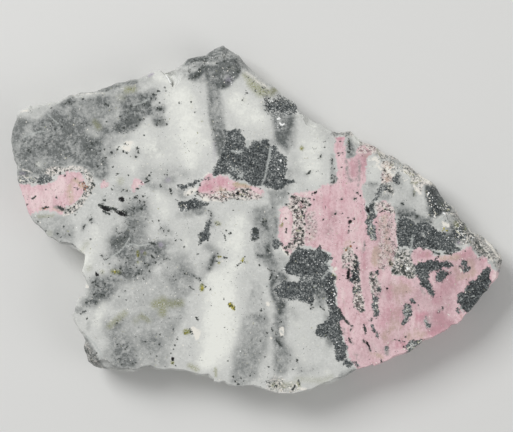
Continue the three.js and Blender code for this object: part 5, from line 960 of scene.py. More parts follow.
# Ground of cream and grey crumbs with many dark grains: amounts, the width of the soft edge and outlines
SALTED = [
    (0.6, 0.6, [(30.8, 14.4), (33.8, 14.6), (34, 11.8), (34, 8.8), (31, 8.8)]),
    (1, 1, [
        (8, 5.8), (9.2, 6.2), (11, 5.6), (12.8, 5.2), (13.6, 4.2), (13.2, 3), (12.2, 2), (11.8, 0.6),
        (12, -1), (12, -3), (11.8, -5), (11.8, -7), (9.4, -7.6), (7.8, -8.4), (6.4, -7), (8, -6), (8.4, -4),
        (8.8, -1), (8.6, 1.6), (7.4, 3.2), (8, 4.6),
    ]),
    (1, 0.8, [
        (-15.8, 7.2), (-14.6, 5.4), (-12, 4.6), (-9, 4.3), (-6, 4.9), (-2.6, 4.6), (0.6, 4.8), (1.6, 5.6),
        (-0.4, 6.6), (-2.2, 7.8), (-5, 7.8), (-6.4, 7), (-9.4, 7.1), (-11.4, 6.3), (-13.6, 6.5),
    ]),
    (1, 0.7, [
        (-53, 12.4), (-51.4, 13.2), (-49.6, 13.2), (-48.4, 12.7), (-46.4, 13.4), (-44.4, 13.3), (-42.6, 12.3),
        (-41.2, 10.8), (-40.8, 9), (-40.4, 8), (-41.4, 7.4), (-41.6, 6.2), (-42.8, 4.8), (-44, 3),
        (-45.6, 1.8), (-47.4, 0.7), (-49, 0.6), (-48.4, 1.8), (-47.4, 3), (-45.8, 3.8), (-44.6, 5),
        (-43.6, 6.4), (-42.9, 7.6), (-42.8, 10), (-43.6, 11.3), (-45.2, 12.1), (-47.6, 12), (-49.4, 11.5),
        (-50.4, 10.8), (-52, 10.6), (-53.4, 11),
    ]),
    (0.6, 1, [(-60.8, 10.8), (-57.8, 11.2), (-55, 10.4), (-54.4, 8.8), (-56.4, 8.4), (-60.8, 8.8)]),
    (0.5, 1.6, [(12, 2.6), (14.6, 2), (15.4, -1.6), (14.8, -5), (13, -6.8), (12, -6)]),
    (0.5, 1.6, [
        (29.8, 1), (34.2, 1.6), (34.9, -3.6), (34.8, -7.6), (33.4, -12), (31.2, -13.4), (29.8, -12),
        (29.8, -6),
    ]),
    (0.5, 1.2, [(24.6, 18.6), (26.8, 19.6), (29.6, 18.4), (28.6, 16.6), (26.6, 15.6), (25, 16.2)]),
    (0.45, 1, [
        (-43.6, -30.2), (-42.2, -30.8), (-40.2, -34.4), (-38.6, -37.2), (-41.8, -36.8), (-43.8, -33.2),
    ]),
    (1, 1.2, [
        (21.3, -7.4), (23.2, -6.6), (24.2, -8.4), (23.8, -11.2), (22.6, -12.6), (21.2, -12.4), (21, -9.6),
    ]),
    (1, 0.8, [
        (23.8, -8.6), (25.3, -9.4), (25.7, -13), (25.8, -17), (26.6, -20.4), (27, -23), (25.8, -23.6),
        (24, -21.8), (23.7, -18), (23.8, -15.8), (23, -12),
    ]),
    (0.9, 1, [(28, -13), (29.6, -13.8), (31, -17.2), (30.6, -19.4), (28.4, -18.6), (27.8, -15.2)]),
    (1, 1.2, [
        (34.4, -7.6), (36, -7.4), (38.2, -7.8), (38.6, -10.2), (39.6, -12.6), (39.4, -14.6), (37.8, -15),
        (36.4, -14.2), (33.4, -13.8), (33, -11.6), (34.4, -10),
    ]),
    (0.9, 1, [(28.6, 4.2), (30.4, 4.6), (33.4, 3.8), (34.6, 1.6), (33.4, 1.4), (31.4, 2.6), (29.6, 1.4)]),
    (0.7, 1.2, [(31, 9), (33.4, 9), (34.6, 7), (33.8, 5.8), (32, 6.4), (30.6, 7.4)]),
    (0.6, 1.6, [
        (2, -42.6), (2.6, -40.2), (4.2, -39), (6.2, -39.2), (7.2, -41.2), (10.4, -40.4), (10.8, -43.4),
        (5, -44),
    ]),
    (0.9, 1.2, [
        (36.6, 13.6), (39, 13.2), (43, 9.6), (45.6, 7.6), (44.6, 8.2), (42, 8.6), (40.6, 6.4), (39, 8.4),
        (38.4, 10.6), (36.6, 12),
    ]),
    (0.75, 1.2, [
        (47.6, 2.6), (50.6, 1.4), (52.4, -2), (53.4, -3.4), (57, -4.2), (59.6, -7), (61.6, -9.6),
        (61.2, -12.6), (59.8, -12.8), (58.4, -10.6), (56.6, -9.4), (55, -8.6), (53.2, -6.4), (50.6, -6.6),
        (49.6, -5.4), (51.8, -5.4), (52, -3.2), (50.8, -0.6), (49, 0.6),
    ]),
    (0.6, 1.2, [(18, 21.2), (20, 22.4), (24.4, 22.8), (24.2, 20.4), (22.4, 20.6), (20.2, 21)]),
    (0.8, 1.2, [(25, 19), (27.2, 20), (31, 17.6), (36, 14.8), (33, 14.6), (30.6, 15.4), (28.4, 16.6)]),
    (0.6, 1.4, [(30.8, 15), (33.4, 14.4), (35.4, 12.6), (34, 10.8), (31.6, 10.8), (30.8, 12.6)]),
]

# Duller, dusky pink towards the east
DUSKY = [
    (0.45, 46, -21, 3.4, 48, -14, 3.4, 54, -10, 3), (0.5, 44, -26, 3, 47.6, -26, 2),
    (0.35, 33, -18, 3, 38, -20, 3, 34, -25, 3), (0.35, 41, -20, 2.4), (0.35, 39.6, -8.8, 1.2, 43, -8.8, 1),
    (0.25, 26.8, -9, 0.9, 27, -20, 0.9), (0.25, 25.4, -34, 2, 33, -30, 2.4),
    (0.35, 31, -3, 2.4, 31.4, -10, 2.6), (0.4, 28, 16.6, 1.8, 24, 12, 1.8),
    (0.3, 18.6, 0.6, 1.6, 17.4, -3, 1.6), (0.25, 13.6, -2, 2), (0.2, 36.6, -29.6, 2.4),
]

# Light crystals strewn through the darker ground
CRYSTALS = [
    (0.6, 42.4, 6.6, 0.6, 43.4, 3.8, 0.9, 44.2, 0.8, 0.8), (0.85, 47.4, 4.4, 0.8, 47.6, 1.4, 1),
    (0.45, 45.4, 3.2, 0.8), (0.75, 50.4, -1.4, 1.6, 50.8, -4.4, 1.4), (0.9, 52.6, -5.4, 1, 53.6, -3.6, 0.6),
    (0.4, 55, -5, 1.6, 59, -9, 1.6), (0.6, 46.6, -2.6, 1), (0.55, 34.6, -10.6, 1.4, 37.6, -12.6, 1.4),
    (0.55, 29.6, -19.4, 0.8, 29.6, -23, 0.8), (0.45, 37.8, -22.8, 1),
    (0.55, 24.2, -11.2, 0.8, 24.6, -14.6, 0.8), (0.65, 24.8, -17.6, 1, 25.6, -21.6, 1),
    (0.75, 38.8, -31.6, 1.4), (0.6, 36.4, -33, 0.5, 40.8, -30.6, 0.5), (0.6, 5, -41, 2, 9.6, -41.6, 1.2),
    (0.5, -18.6, 2.8, 1.2), (0.8, 33, 13, 1.6, 36, 12.4, 1.6, 39.6, 9.6, 1.6),
    (0.6, 10.4, 3, 1.6, 10.2, -4.4, 1.6), (0.65, 6.4, -7.2, 1), (0.6, -10, 5.4, 1, -3, 6.4, 1.4),
    (0.5, 32.6, 7.6, 1.2), (0.5, 31.6, 2.6, 1.4), (0.6, 28.4, 1.2, 0.9, 28.8, -5, 0.9),
    (0.65, -58.8, 9.8, 1, -56, 10, 0.8), (0.5, 31, 15.6, 1.6, 26, 18.8, 1),
    (0.45, -36.6, 3.2, 1.2, -33, 2.4, 1),
]

# Bright glints
SPARKLING = [
    (0.9, 18.4, -15.6, 1, 18.4, -21, 1), (0.5, 19.2, -24, 1.2, 20.4, -32, 1),
    (0.6, 11, -9.5, 1.8, 16, -11, 1.8), (0.4, 10, -18, 2), (0.9, 36.8, -10, 1, 37.8, -13, 1.2),
    (0.8, 43, 6, 1.4, 46.8, 1.6, 1.4), (0.8, 50.4, -3, 1.6, 56, -7, 1.6), (0.7, -18.6, 3, 1),
    (0.6, 4, 30, 1.4, 5.6, 23.6, 1.4), (0.5, -6, 12.4, 1.4), (0.45, -12, 40, 1.6, -7, 41, 1.4, -6.4, 35, 1.2),
    (0.5, 4.6, -41, 1.6), (0.5, 24.6, -14, 1), (0.5, 29.6, -20.6, 0.8), (0.5, 42, -2.6, 2), (0.4, 55, -17, 2),
    (0.4, 10.4, 0, 1.4),
]

# Zones thick with fine dark specks: an amount, and then discs x, y, radius
SPECKLED = [
    (0.4, -4.4, 7.2, 1, -2.8, 7.4, 0.9), (0.45, -35.2, -6, 1.6, -33.4, -3.8, 1.4),
    (0.5, -42.4, -32.4, 1.3, -41.2, -35.6, 1.4), (0.8, 55.2, -6.4, 1, 56.2, -7.8, 1), (0.5, 53.8, -4.8, 0.8),
    (0.3, -55, 18, 5, -46, 20, 5, -41, 17, 2), (0.35, -34, 24, 2.2, -29, 27, 2.4),
    (0.8, -17.4, 38.8, 0.9, -13.6, 40.2, 1), (0.55, -15, 39.6, 1.6, -8, 40.6, 1.8),
    (0.75, -5.2, 40.2, 0.8, -3.6, 38.2, 0.8), (0.5, -2.4, 36.2, 0.9, 2, 32.4, 1),
    (0.35, -10, 36, 2.2, -6.6, 35.6, 1.6), (0.6, -15.6, 35.8, 1, -13.6, 37.6, 0.8),
    (0.45, -46, 31, 0.6, -36, 33.4, 0.8), (0.4, -31, 2, 1.8, -33, -8, 2.6, -26, -9, 2.4),
    (0.5, -35, -13.4, 1.6, -30, -13, 1.6), (0.5, -39.6, -17.4, 1.8, -42, -20.6, 0.8),
    (0.6, -42.4, -33, 1.2, -40, -36, 1.2), (0.7, 18.6, 15.4, 0.7, 19, 9, 0.9),
    (0.7, 24.6, -10, 0.8, 24.8, -16, 0.9, 25.6, -21.6, 1), (0.6, 29.2, -15.4, 1, 29.6, -19.6, 1),
    (0.5, 28.4, 1.6, 1.2, 28.6, -4.6, 1.2), (0.4, -25, 30.6, 1.6, -24.6, 25.4, 1.4),
    (0.25, -33, -33, 2.6, -32, -36.6, 1.4), (0.45, 4.6, -40.8, 2, -4.8, -40.4, 1.6),
    (0.35, 56, -8, 1.8, 60, -11, 1.6), (0.5, 50, -2, 2, 46, 3, 1.6),
    (0.45, 40, 11, 1.6, 34, 14.4, 1.8, 30.6, 16.8, 1.2), (0.45, 31.6, 8, 1.8, 33.6, 6.6, 1.4),
    (0.4, 38.6, -31.6, 1.2), (0.4, 20, 21.2, 1, 23, 20.4, 1), (0.35, -30, 5, 2, -34.6, 7.4, 1.6),
    (0.3, 1, 32.6, 2.4, -2.6, 31.6, 1.4), (0.35, 5.4, -15, 2.4, 5.8, -21, 1.6),
    (0.25, -24, -3, 2, -20.4, -4.6, 1.8), (0.22, -8, -4, 1.6, -10, -2, 1.4), (0.25, 4.6, -28, 2.4),
    (0.25, 30.6, -1, 2.4, 32.6, -7, 2.2, 30, -11, 1.6), (0.25, 14, -2, 1.6, 14, 3, 1.2),
    (0.75, 10.4, 4.2, 1.8, 10.2, 0, 1.6), (0.95, 10.4, -3.4, 1.4, 10.6, -6, 1.3), (0.6, 36, -9.4, 1.6),
    (0.85, 36.6, -11.6, 1.4, 37.8, -13.6, 1.3, 34.4, -12.8, 1), (0.5, 33.8, 0.6, 1, 33.8, -6, 1),
    (0.6, 31.6, 2.2, 0.7), (0.35, -45, 8.4, 1.6),
]

# Where the ore is lighter, with much quartz in it
ORE_LIGHTER = [
    (0.6, 3.8, 18.6, 0.6, 5.6, 17, 0.8, 7, 15.4, 0.6), (0.4, -5.4, 20, 1.6),
    (0.4, -6, 12.6, 1.2, -4, 11.6, 1.2), (0.6, -5, 16.8, 0.8), (0.4, 1.2, 17.3, 0.5),
    (0.3, 4.6, -18.6, 1.2, 4.6, -15, 0.8), (0.6, 6.6, -14.2, 0.6, 10.8, -14.6, 0.9, 12.8, -15.2, 0.8),
    (0.6, 15.6, -17.6, 1, 15.8, -20.6, 1), (0.4, 41.6, -4, 0.8), (0.4, 38.6, -5, 0.6, 38.4, -7.4, 0.6),
    (0.4, 36.6, 0.6, 0.8), (0.5, -14.5, 1.7, 0.9), (0.5, -18.2, 2.4, 0.6), (0.4, 50.6, -20.6, 0.8),
    (0.6, 37.6, -22.6, 1, 37, -25.4, 0.6), (0.6, 28, 1.6, 0.7), (0.7, 28.4, -1, 0.8, 28.8, -4.8, 0.9),
    (0.7, -59.2, 9.8, 0.9, -56.2, 9.8, 0.8), (0.5, -53.4, 10.2, 1.2), (0.6, 30.2, 6, 1, 31.4, 7.6, 0.8),
    (0.6, 38.8, -31.6, 1.6), (0.5, 29.4, -20.6, 0.8, 29.6, -22.6, 0.8), (0.8, 42.4, -26, 1.8),
    (0.6, 32.2, -32.2, 1),
]

# Where the ore is darkest
ORE_DARKER = [
    (0.7, 24.2, -11.6, 0.9, 24.4, -15, 1), (0.5, 19, -15, 1.4, 18.6, -21, 1.4),
    (0.5, 43, 6, 1.6, 44.6, 2, 1.4), (0.3, 10, -9.6, 1.6, 13, -12, 2, 17, -9.4, 1), (0.3, 42, -16, 1.2),
    (0.2, 42, -11.6, 1.8, 46.6, -11.4, 1.4), (0.2, 38, -3.6, 2.6, 43, -4.6, 2), (0.15, 0, 13, 3.4),
    (0.5, 52, -21, 1.8, 55, -17.6, 2.2, 57, -14, 1.2), (0.3, -5.6, 20.6, 1.6),
    (0.3, -6.4, 18.2, 1.6, -6, 14.6, 1.2), (0.3, -17, 3.6, 2),
]

# Ground that is light with dark grains in it, where the broken rim cuts ore: outlines in millimetres
ROUGH_ORE = [
    (2.3, 30.2), (3, 29.6), (3.6, 29.4), (4.4, 29.9), (5.2, 30.5), (6, 30.8), (6.8, 30.6), (8.1, 30.2),
    (8.9, 29.5), (9.6, 28.8), (10.2, 28), (10.2, 27.2), (9.4, 26.4), (8.4, 26.2), (7.4, 26.4), (6.2, 26.3),
    (4.9, 26.1), (3.8, 26.2), (2.9, 26.7), (2.7, 27.3), (2.1, 28.1), (2.1, 29),
]


# Soft strokes and crisp chains of discs, by the name of the amount that they leave on the mesh
SOFT_FIELDS = {
    "White": WHITE,
    "Cream": CREAM,
    "Olive": OLIVE,
    "Tan": TAN,
    "Rose": ROSE,
    "Pale": PALE,
    "Lilac": LILAC,
    "Speckle": SPECKLED,
    "Smudge": SMUDGES,
    "Crystals": CRYSTALS,
    "Sparkle": SPARKLING,
    "Dusky": DUSKY,
}
CRISP_FIELDS = {"GrainAndStepShadow": GRAINS_AND_STEP_SHADOW, "Glint": GLINTS, "Light": LIGHT_LINES, "Rust": RUST, "Mustard": MUSTARD}

# How far from an edge its distance is told, and how far round a dot and a hole points are looked at,
# in millimetres
REACH = 2.0
DOT_MARGIN = 1.0
HOLE_MARGIN = 1.0

# How far a soft stroke reaches, as a share of its radius, and how steeply a hole's walls go down
SOFT_EDGE = 1.6
HOLE_STEEPNESS = 1.6


# Fields: how the drawn pattern is read at a point


def links(numbers):
    """The neighbouring pairs of discs in a chain of x, y, radius: a lone disc is paired with itself."""
    chain = [tuple(numbers[at:at + 3]) for at in range(0, len(numbers), 3)]
    return list(zip(chain, chain[1:])) or [(chain[0], chain[0])]


def segment_distances(points, start, end):
    """Each point's distance to the line from start to end, and how far along it the nearest place is."""
    start = np.array(start)
    along = np.array(end) - start
    length = along @ along
    share = np.clip((points - start) @ along / length, 0, 1) if length else np.zeros(len(points))
    return np.linalg.norm(points - start - share[:, None] * along, axis=1), share


def near(points, corners, margin):
    """The points within a margin of the box around some corners."""
    low = np.min(corners, axis=0) - margin
    high = np.max(corners, axis=0) + margin
    return np.nonzero(((points > low) & (points < high)).all(1))[0]


def near_chain(points, numbers, margin):
    """The points within a margin of the box around the discs' middles."""
    return near(points, np.column_stack((numbers[0::3], numbers[1::3])), margin)


def depth_inside(points, outline):
    """How deep each point lies inside an outline, in millimetres, and below zero outside it."""
    nearest = np.full(len(points), np.inf)
    inside = np.zeros(len(points), bool)
    x, y = points.T
    for start, end in zip(outline, outline[1:] + outline[:1]):
        nearest = np.minimum(nearest, segment_distances(points, start, end)[0])
        crossed = (start[1] > y) != (end[1] > y)
        rise = end[1] - start[1] or 1.0
        inside ^= crossed & (x < (end[0] - start[0]) * (y - start[1]) / rise + start[0])
    return np.where(inside, nearest, -nearest)


def outlines_field(points, outlines):
    """The depth inside the nearest of several outlines."""
    field = np.full(len(points), -REACH)
    for outline in outlines:
        some = near(points, outline, REACH)
        field[some] = np.maximum(field[some], depth_inside(points[some], outline))
    return np.minimum(field, REACH)


def dots_field(points, chains):
    """How deep each point lies inside the nearest of several crisp chains of discs, in millimetres."""
    field = np.full(len(points), -REACH)
    for numbers in chains:
        some = near_chain(points, numbers, DOT_MARGIN)
        for first, second in links(numbers):
            away, share = segment_distances(points[some], first[:2], second[:2])
            radius = first[2] + share * (second[2] - first[2])
            field[some] = np.maximum(field[some], radius - away)
    return field


def strokes_field(points, strokes):
    """The amount that soft strokes leave on each point: they lie over one another like thin paint."""
    bare = np.ones(len(points))
    for strength, *numbers in strokes:
        some = near_chain(points, numbers, SOFT_EDGE * max(numbers[2::3]))
        cover = np.zeros(len(some))
        for first, second in links(numbers):
            away, share = segment_distances(points[some], first[:2], second[:2])
            radius = SOFT_EDGE * (first[2] + share * (second[2] - first[2]))
            cover = np.maximum(cover, np.clip(1 - (away / radius) ** 2, 0, 1) ** 2)
        bare[some] *= 1 - strength * cover
    return 1 - bare


def patches_field(points, patches):
    """The amount that soft-edged patches leave on each point."""
    bare = np.ones(len(points))
    for strength, edge, outline in patches:
        some = near(points, outline, edge)
        share = np.clip(0.5 + depth_inside(points[some], outline) / edge, 0, 1)
        bare[some] *= 1 - strength * share * share * (3 - 2 * share)
    return 1 - bare


def holes_field(points):
    """How far each point is inside a hole, from 1 at its middle to 0 at its edge, and how deep it sinks."""
    field = np.full(len(points), -1.0)
    sink = np.zeros(len(points))
    for x, y, long_half, short_half, turn, depth in HOLES:
        some = near(points, [(x, y)], long_half + HOLE_MARGIN)
        offset = points[some] - (x, y)
        angle = math.radians(turn)
        along = offset @ (math.cos(angle), math.sin(angle))
        across = offset @ (-math.sin(angle), math.cos(angle))
        inside = 1 - np.hypot(along / long_half, across / short_half)
        field[some] = np.maximum(field[some], inside)
        sink[some] = np.maximum(sink[some], depth * np.clip(inside * HOLE_STEEPNESS, 0, 1))
    return field, sink


def drifted(points, heights):
    """Where on the shown face each point's rock comes from: the pattern wanders with depth."""
    depth = np.clip((THICKNESS - DRIFT_START - heights) / (THICKNESS - DRIFT_START), 0, 1)
    moved = points.copy()
    for index in np.nonzero(depth)[0]:
        place = Vector((*points[index], 0.0)) / DRIFT_SIZE
        wander = np.array((noise.noise(place + ACROSS), noise.noise(place + ALONG)))
        moved[index] += wander * DRIFT * depth[index]
    return moved


# The mesh


def jitter(source, size):
    """A random step to either side."""
    return (source.random() - 0.5) * size


def bucket(x, y):
    """The cell in which a point is looked up."""
    return math.floor(x / BUCKET), math.floor(y / BUCKET)


def dot_samples(chains):
    """Places for mesh points so that small crisp dots keep their shape: each disc's middle and its ring."""
    middles = []
    ring = []
    for numbers in chains:
        for first, second in links(numbers):
            steps = max(1, math.ceil(math.dist(first[:2], second[:2]) / DOT_STEP))
            for step in range(steps + 1):
                x, y, radius = (a + (b - a) * step / steps for a, b in zip(first, second))
                middles.append((x, y))
                reach = RING_SIZE * radius
                for corner in range(RING_CORNERS):
                    angle = math.tau * (corner + RING_TURN) / RING_CORNERS
                    ring.append((x + reach * math.cos(angle), y + reach * math.sin(angle)))
    return middles, ring


def net_samples(low, high, cell):
    """A net of places over a box, in staggered rows and slightly uneven."""
    source = random.Random(NET_SEED)
    return [
        (
            low[0] + (column + 0.5 * (row % 2)) * cell + jitter(source, cell * UNEVENNESS),
            low[1] + row * cell * ROW_HEIGHT + jitter(source, cell * UNEVENNESS),
        )
        for row in range(math.ceil((high[1] - low[1]) / (cell * ROW_HEIGHT)) + 1)
        for column in range(math.ceil((high[0] - low[0]) / cell) + 1)
    ]


def spread(points, gap, taken):
    """Keeps the points that are at least a gap away from all that are taken already, and takes them."""
    kept = []
    reach = math.ceil(gap / BUCKET)
    for x, y in points:
        column, row = bucket(x, y)
        close = (
            taken[(i, j)]
            for i in range(column - reach, column + reach + 1)
            for j in range(row - reach, row + reach + 1)
            if (i, j) in taken
        )
        if all(math.hypot(x - other_x, y - other_y) >= gap for other_x, other_y in close):
            taken[(column, row)] = (x, y)
            kept.append((x, y))
    return kept


def lies_at(vert, level):
    """Whether a mesh point lies at a height in millimetres."""
    return abs(vert.co.z / MM - level) < SAME_HEIGHT


def is_sawn(face):
    """Whether a face is part of the shown face or of the back."""
    return any(all(lies_at(vert, level) for vert in face.verts) for level in (0.0, THICKNESS))


def fill_flat(mesh, level, cell, chains):
    """Fills the open rim of a flat face with a net of points, closer where there are crisp dots."""
    rim = [vert for vert in mesh.verts if vert.is_boundary and lies_at(vert, level)]
    order = {vert: index for index, vert in enumerate(rim)}
    edges = [
        tuple(order[vert] for vert in edge.verts)
        for edge in mesh.edges
        if edge.is_boundary and all(vert in order for vert in edge.verts)
    ]
    coords = [(vert.co.x / MM, vert.co.y / MM) for vert in rim]
    taken = {bucket(x, y): (x, y) for x, y in coords}
    middles, ring = dot_samples(chains)
    inner = spread(middles, DOT_GAP, taken) + spread(ring, DOT_GAP, taken)
    net = net_samples(np.min(coords, axis=0), np.max(coords, axis=0), cell)
    inner += spread(net, cell * NET_GAP, taken)
    every = [Vector(point) for point in coords + inner]
    places, _, triangles, origins, _, _ = delaunay_2d_cdt(every, edges, [], 2, NET_TOLERANCE)
    verts = []
    for place, origin in zip(places, origins):
        old = [index for index in origin if index < len(rim)]
        verts.append(rim[old[0]] if old else mesh.verts.new((place.x * MM, place.y * MM, level * MM)))
    for triangle in triangles:
        corners = [verts[index] for index in triangle]
        mesh.faces.new(corners if level > 0 else corners[::-1])


def roughen(mesh):
    """Eats lumps of several sizes into the broken surfaces: nothing stands further out than the solid."""
    mesh.normal_update()
    moves = {}
    for vert in mesh.verts:
        away = vert.normal.copy()
        bite = 0.0
        for size, depth in FRACTURE:
            lump = noise.noise(vert.co / MM / size + Vector((*FRACTURE_PLACE, size)))
            bite += depth * min(1.0, max(0.0, 0.5 + lump))
        if lies_at(vert, 0.0) or lies_at(vert, THICKNESS):
            away.z = 0.0
            bite *= RIM_SHARE
        moves[vert] = away * -bite * MM
    for vert, move in moves.items():
        vert.co += move
        if not vert.is_boundary:
            vert.co.z = min(max(vert.co.z, CLEARANCE * MM), FACE_Z - CLEARANCE * MM)


def rock_mesh():
    """The slab as a fine mesh: the solid's walls, split and roughened, and its two sawn faces refilled."""
    mesh = bmesh.new()
    mesh.from_mesh(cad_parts["slab"].data)
    bmesh.ops.remove_doubles(mesh, verts=mesh.verts, dist=SAME_PLACE * MM)
    bmesh.ops.delete(mesh, geom=[face for face in mesh.faces if is_sawn(face)], context="FACES")
    for _ in range(SPLIT_ROUNDS):
        long_edges = [edge for edge in mesh.edges if edge.calc_length() > WALL_EDGE * MM]
        bmesh.ops.subdivide_edges(mesh, edges=long_edges, cuts=1)
        bmesh.ops.triangulate(mesh, faces=mesh.faces)
    roughen(mesh)
    chains = [chain for drawn in CRISP_FIELDS.values() for chain in drawn]
    chains += [(x, y, short_half) for x, y, _, short_half, _, depth in HOLES if depth]
    fill_flat(mesh, THICKNESS, FACE_CELL, chains)
    fill_flat(mesh, 0.0, BACK_CELL, [])
    return mesh


def paint(mesh):
    """Stores the pattern on the mesh's points and sinks the small holes."""
    places = np.empty(len(mesh.vertices) * 3)
    mesh.vertices.foreach_get("co", places)
    places = places.reshape(-1, 3) / MM
    heights = places[:, 2]
    hole_shade, sink = holes_field(places[:, :2])
    at = drifted(places[:, :2], heights)
    fields = {
        "Ore": outlines_field(at, ORE.values()),
        "RoughOre": outlines_field(at, [ROUGH_ORE]),
        "Pink": outlines_field(at, PINK.values()),
        "Grey": 1 - (1 - strokes_field(at, GREY)) * (1 - patches_field(at, GREY_PATCHES)),
        "Salted": patches_field(at, SALTED),
        "OreTone": strokes_field(at, ORE_LIGHTER) - strokes_field(at, ORE_DARKER),
        # Painted shade: the holes are painted black on the shown face, on the flat faces that close the pits
        # there, and down their walls
        "HoleShade": np.where(heights > THICKNESS - SHADOW_DEPTH, hole_shade, -1.0),
    }
    for name, strokes in SOFT_FIELDS.items():
        fields[name] = strokes_field(at, strokes)
    for name, chains in CRISP_FIELDS.items():
        fields[name] = np.where(heights > THICKNESS - GRAIN_DEPTH, dots_field(at, chains), -REACH)
    for name, values in fields.items():
        attribute = mesh.attributes.new(name, "FLOAT", "POINT")
        attribute.data.foreach_set("value", values.astype(np.float32))
    places[:, 2] -= np.where(heights > THICKNESS - SAME_HEIGHT, sink, 0.0)
    mesh.vertices.foreach_set("co", (places * MM).ravel())


# The texture page, in shares of it: the middles of the two faces, the strip of the walls above them
# and its scale, and the millimetres that a whole page would hold
SHOWN_MIDDLE = (0.25, 0.2)
BACK_MIDDLE = (0.75, 0.2)
FACE_SCALE = 0.48
PAGE = 130.0
STRIP_START = (0.01, 0.8)
STRIP_SCALE = (0.98, 0.6)
STRIP_HEIGHT = 40.0


def unwrap(mesh):
    """Lays the shown face, the back and the walls out side by side."""
    layer = mesh.uv_layers.new(name="OFBake")
    for face in mesh.polygons:
        upright = abs(face.normal.z) < 0.5
        middle = SHOWN_MIDDLE if face.normal.z > 0 else BACK_MIDDLE
        turn = math.atan2(face.center.y, face.center.x)
        for corner in face.loop_indices:
            place = mesh.vertices[mesh.loops[corner].vertex_index].co
            if upright:
                around = (math.atan2(place.y, place.x) - turn + math.pi) % math.tau - math.pi + turn
                shares = (around / math.tau + 0.5, place.z / MM / STRIP_HEIGHT)
                start, scale = STRIP_START, STRIP_SCALE
            else:
                shares = (place.x / (PAGE * MM), place.y / (PAGE * MM))
                start, scale = middle, (FACE_SCALE, FACE_SCALE)
            layer.data[corner].uv = (start[0] + shares[0] * scale[0], start[1] + shares[1] * scale[1])


# The material


def shade(red, green, blue):
    """A colour given as screen values from 0 to 255, as the shader wants it."""
    linear = [((v / 255 + 0.055) / 1.055) ** 2.4 if v > 10 else v / 255 / 12.92 for v in (red, green, blue)]
    return (*linear, 1.0)


WHITE_QUARTZ = shade(217, 218, 214)
CLEAR_WHITE = shade(237, 238, 231)
GREY_QUARTZ = shade(128, 131, 130)
DARK_GREY = shade(78, 83, 82)
CREAM_COLOUR = shade(238, 234, 225)
OLIVE_COLOUR = shade(128, 130, 62)
MUSTARD_COLOUR = shade(188, 176, 66)
MUSTARD_DARK = shade(84, 88, 52)
ORE_DARK = shade(30, 34, 36)
ORE_MIDDLE = shade(84, 89, 90)
ORE_LIGHT = shade(188, 190, 187)
SPECK = shade(58, 63, 60)
HOLE_SHADE_BLACK = shade(14, 14, 16)
PINK_COLOUR = shade(229, 198, 202)
ROSE_COLOUR = shade(212, 156, 168)
PALE_PINK = shade(239, 216, 216)
DUSKY_PINK = shade(176, 144, 149)
SMUDGE_COLOUR = shade(142, 144, 140)
CRUMB_CREAM = shade(230, 223, 216)
CRUMB_GREY = shade(112, 115, 110)
CRYSTAL_OLIVE = shade(168, 168, 140)
TAN_COLOUR = shade(206, 186, 166)
LILAC_COLOUR = shade(160, 148, 172)
RUST_COLOUR = shade(150, 96, 62)
LIGHT_COLOUR = shade(186, 190, 187)
GLINT_COLOUR = shade(248, 249, 247)
FLOOR_COLOUR = shade(222, 222, 220)

# What a noise node's values, less a half, are multiplied by for a spread of about one,
# and how far from the one before each noise is taken
NOISE_SPREAD = 10.0
NOISE_STEP = (17.3, 5.1)
NOISE_HEIGHT = 9.7

# The sockets of a mix node that hold its share, its two colours and its result
MIX_SHARE = 0
MIX_LOW = 6
MIX_HIGH = 7
MIX_RESULT = 2


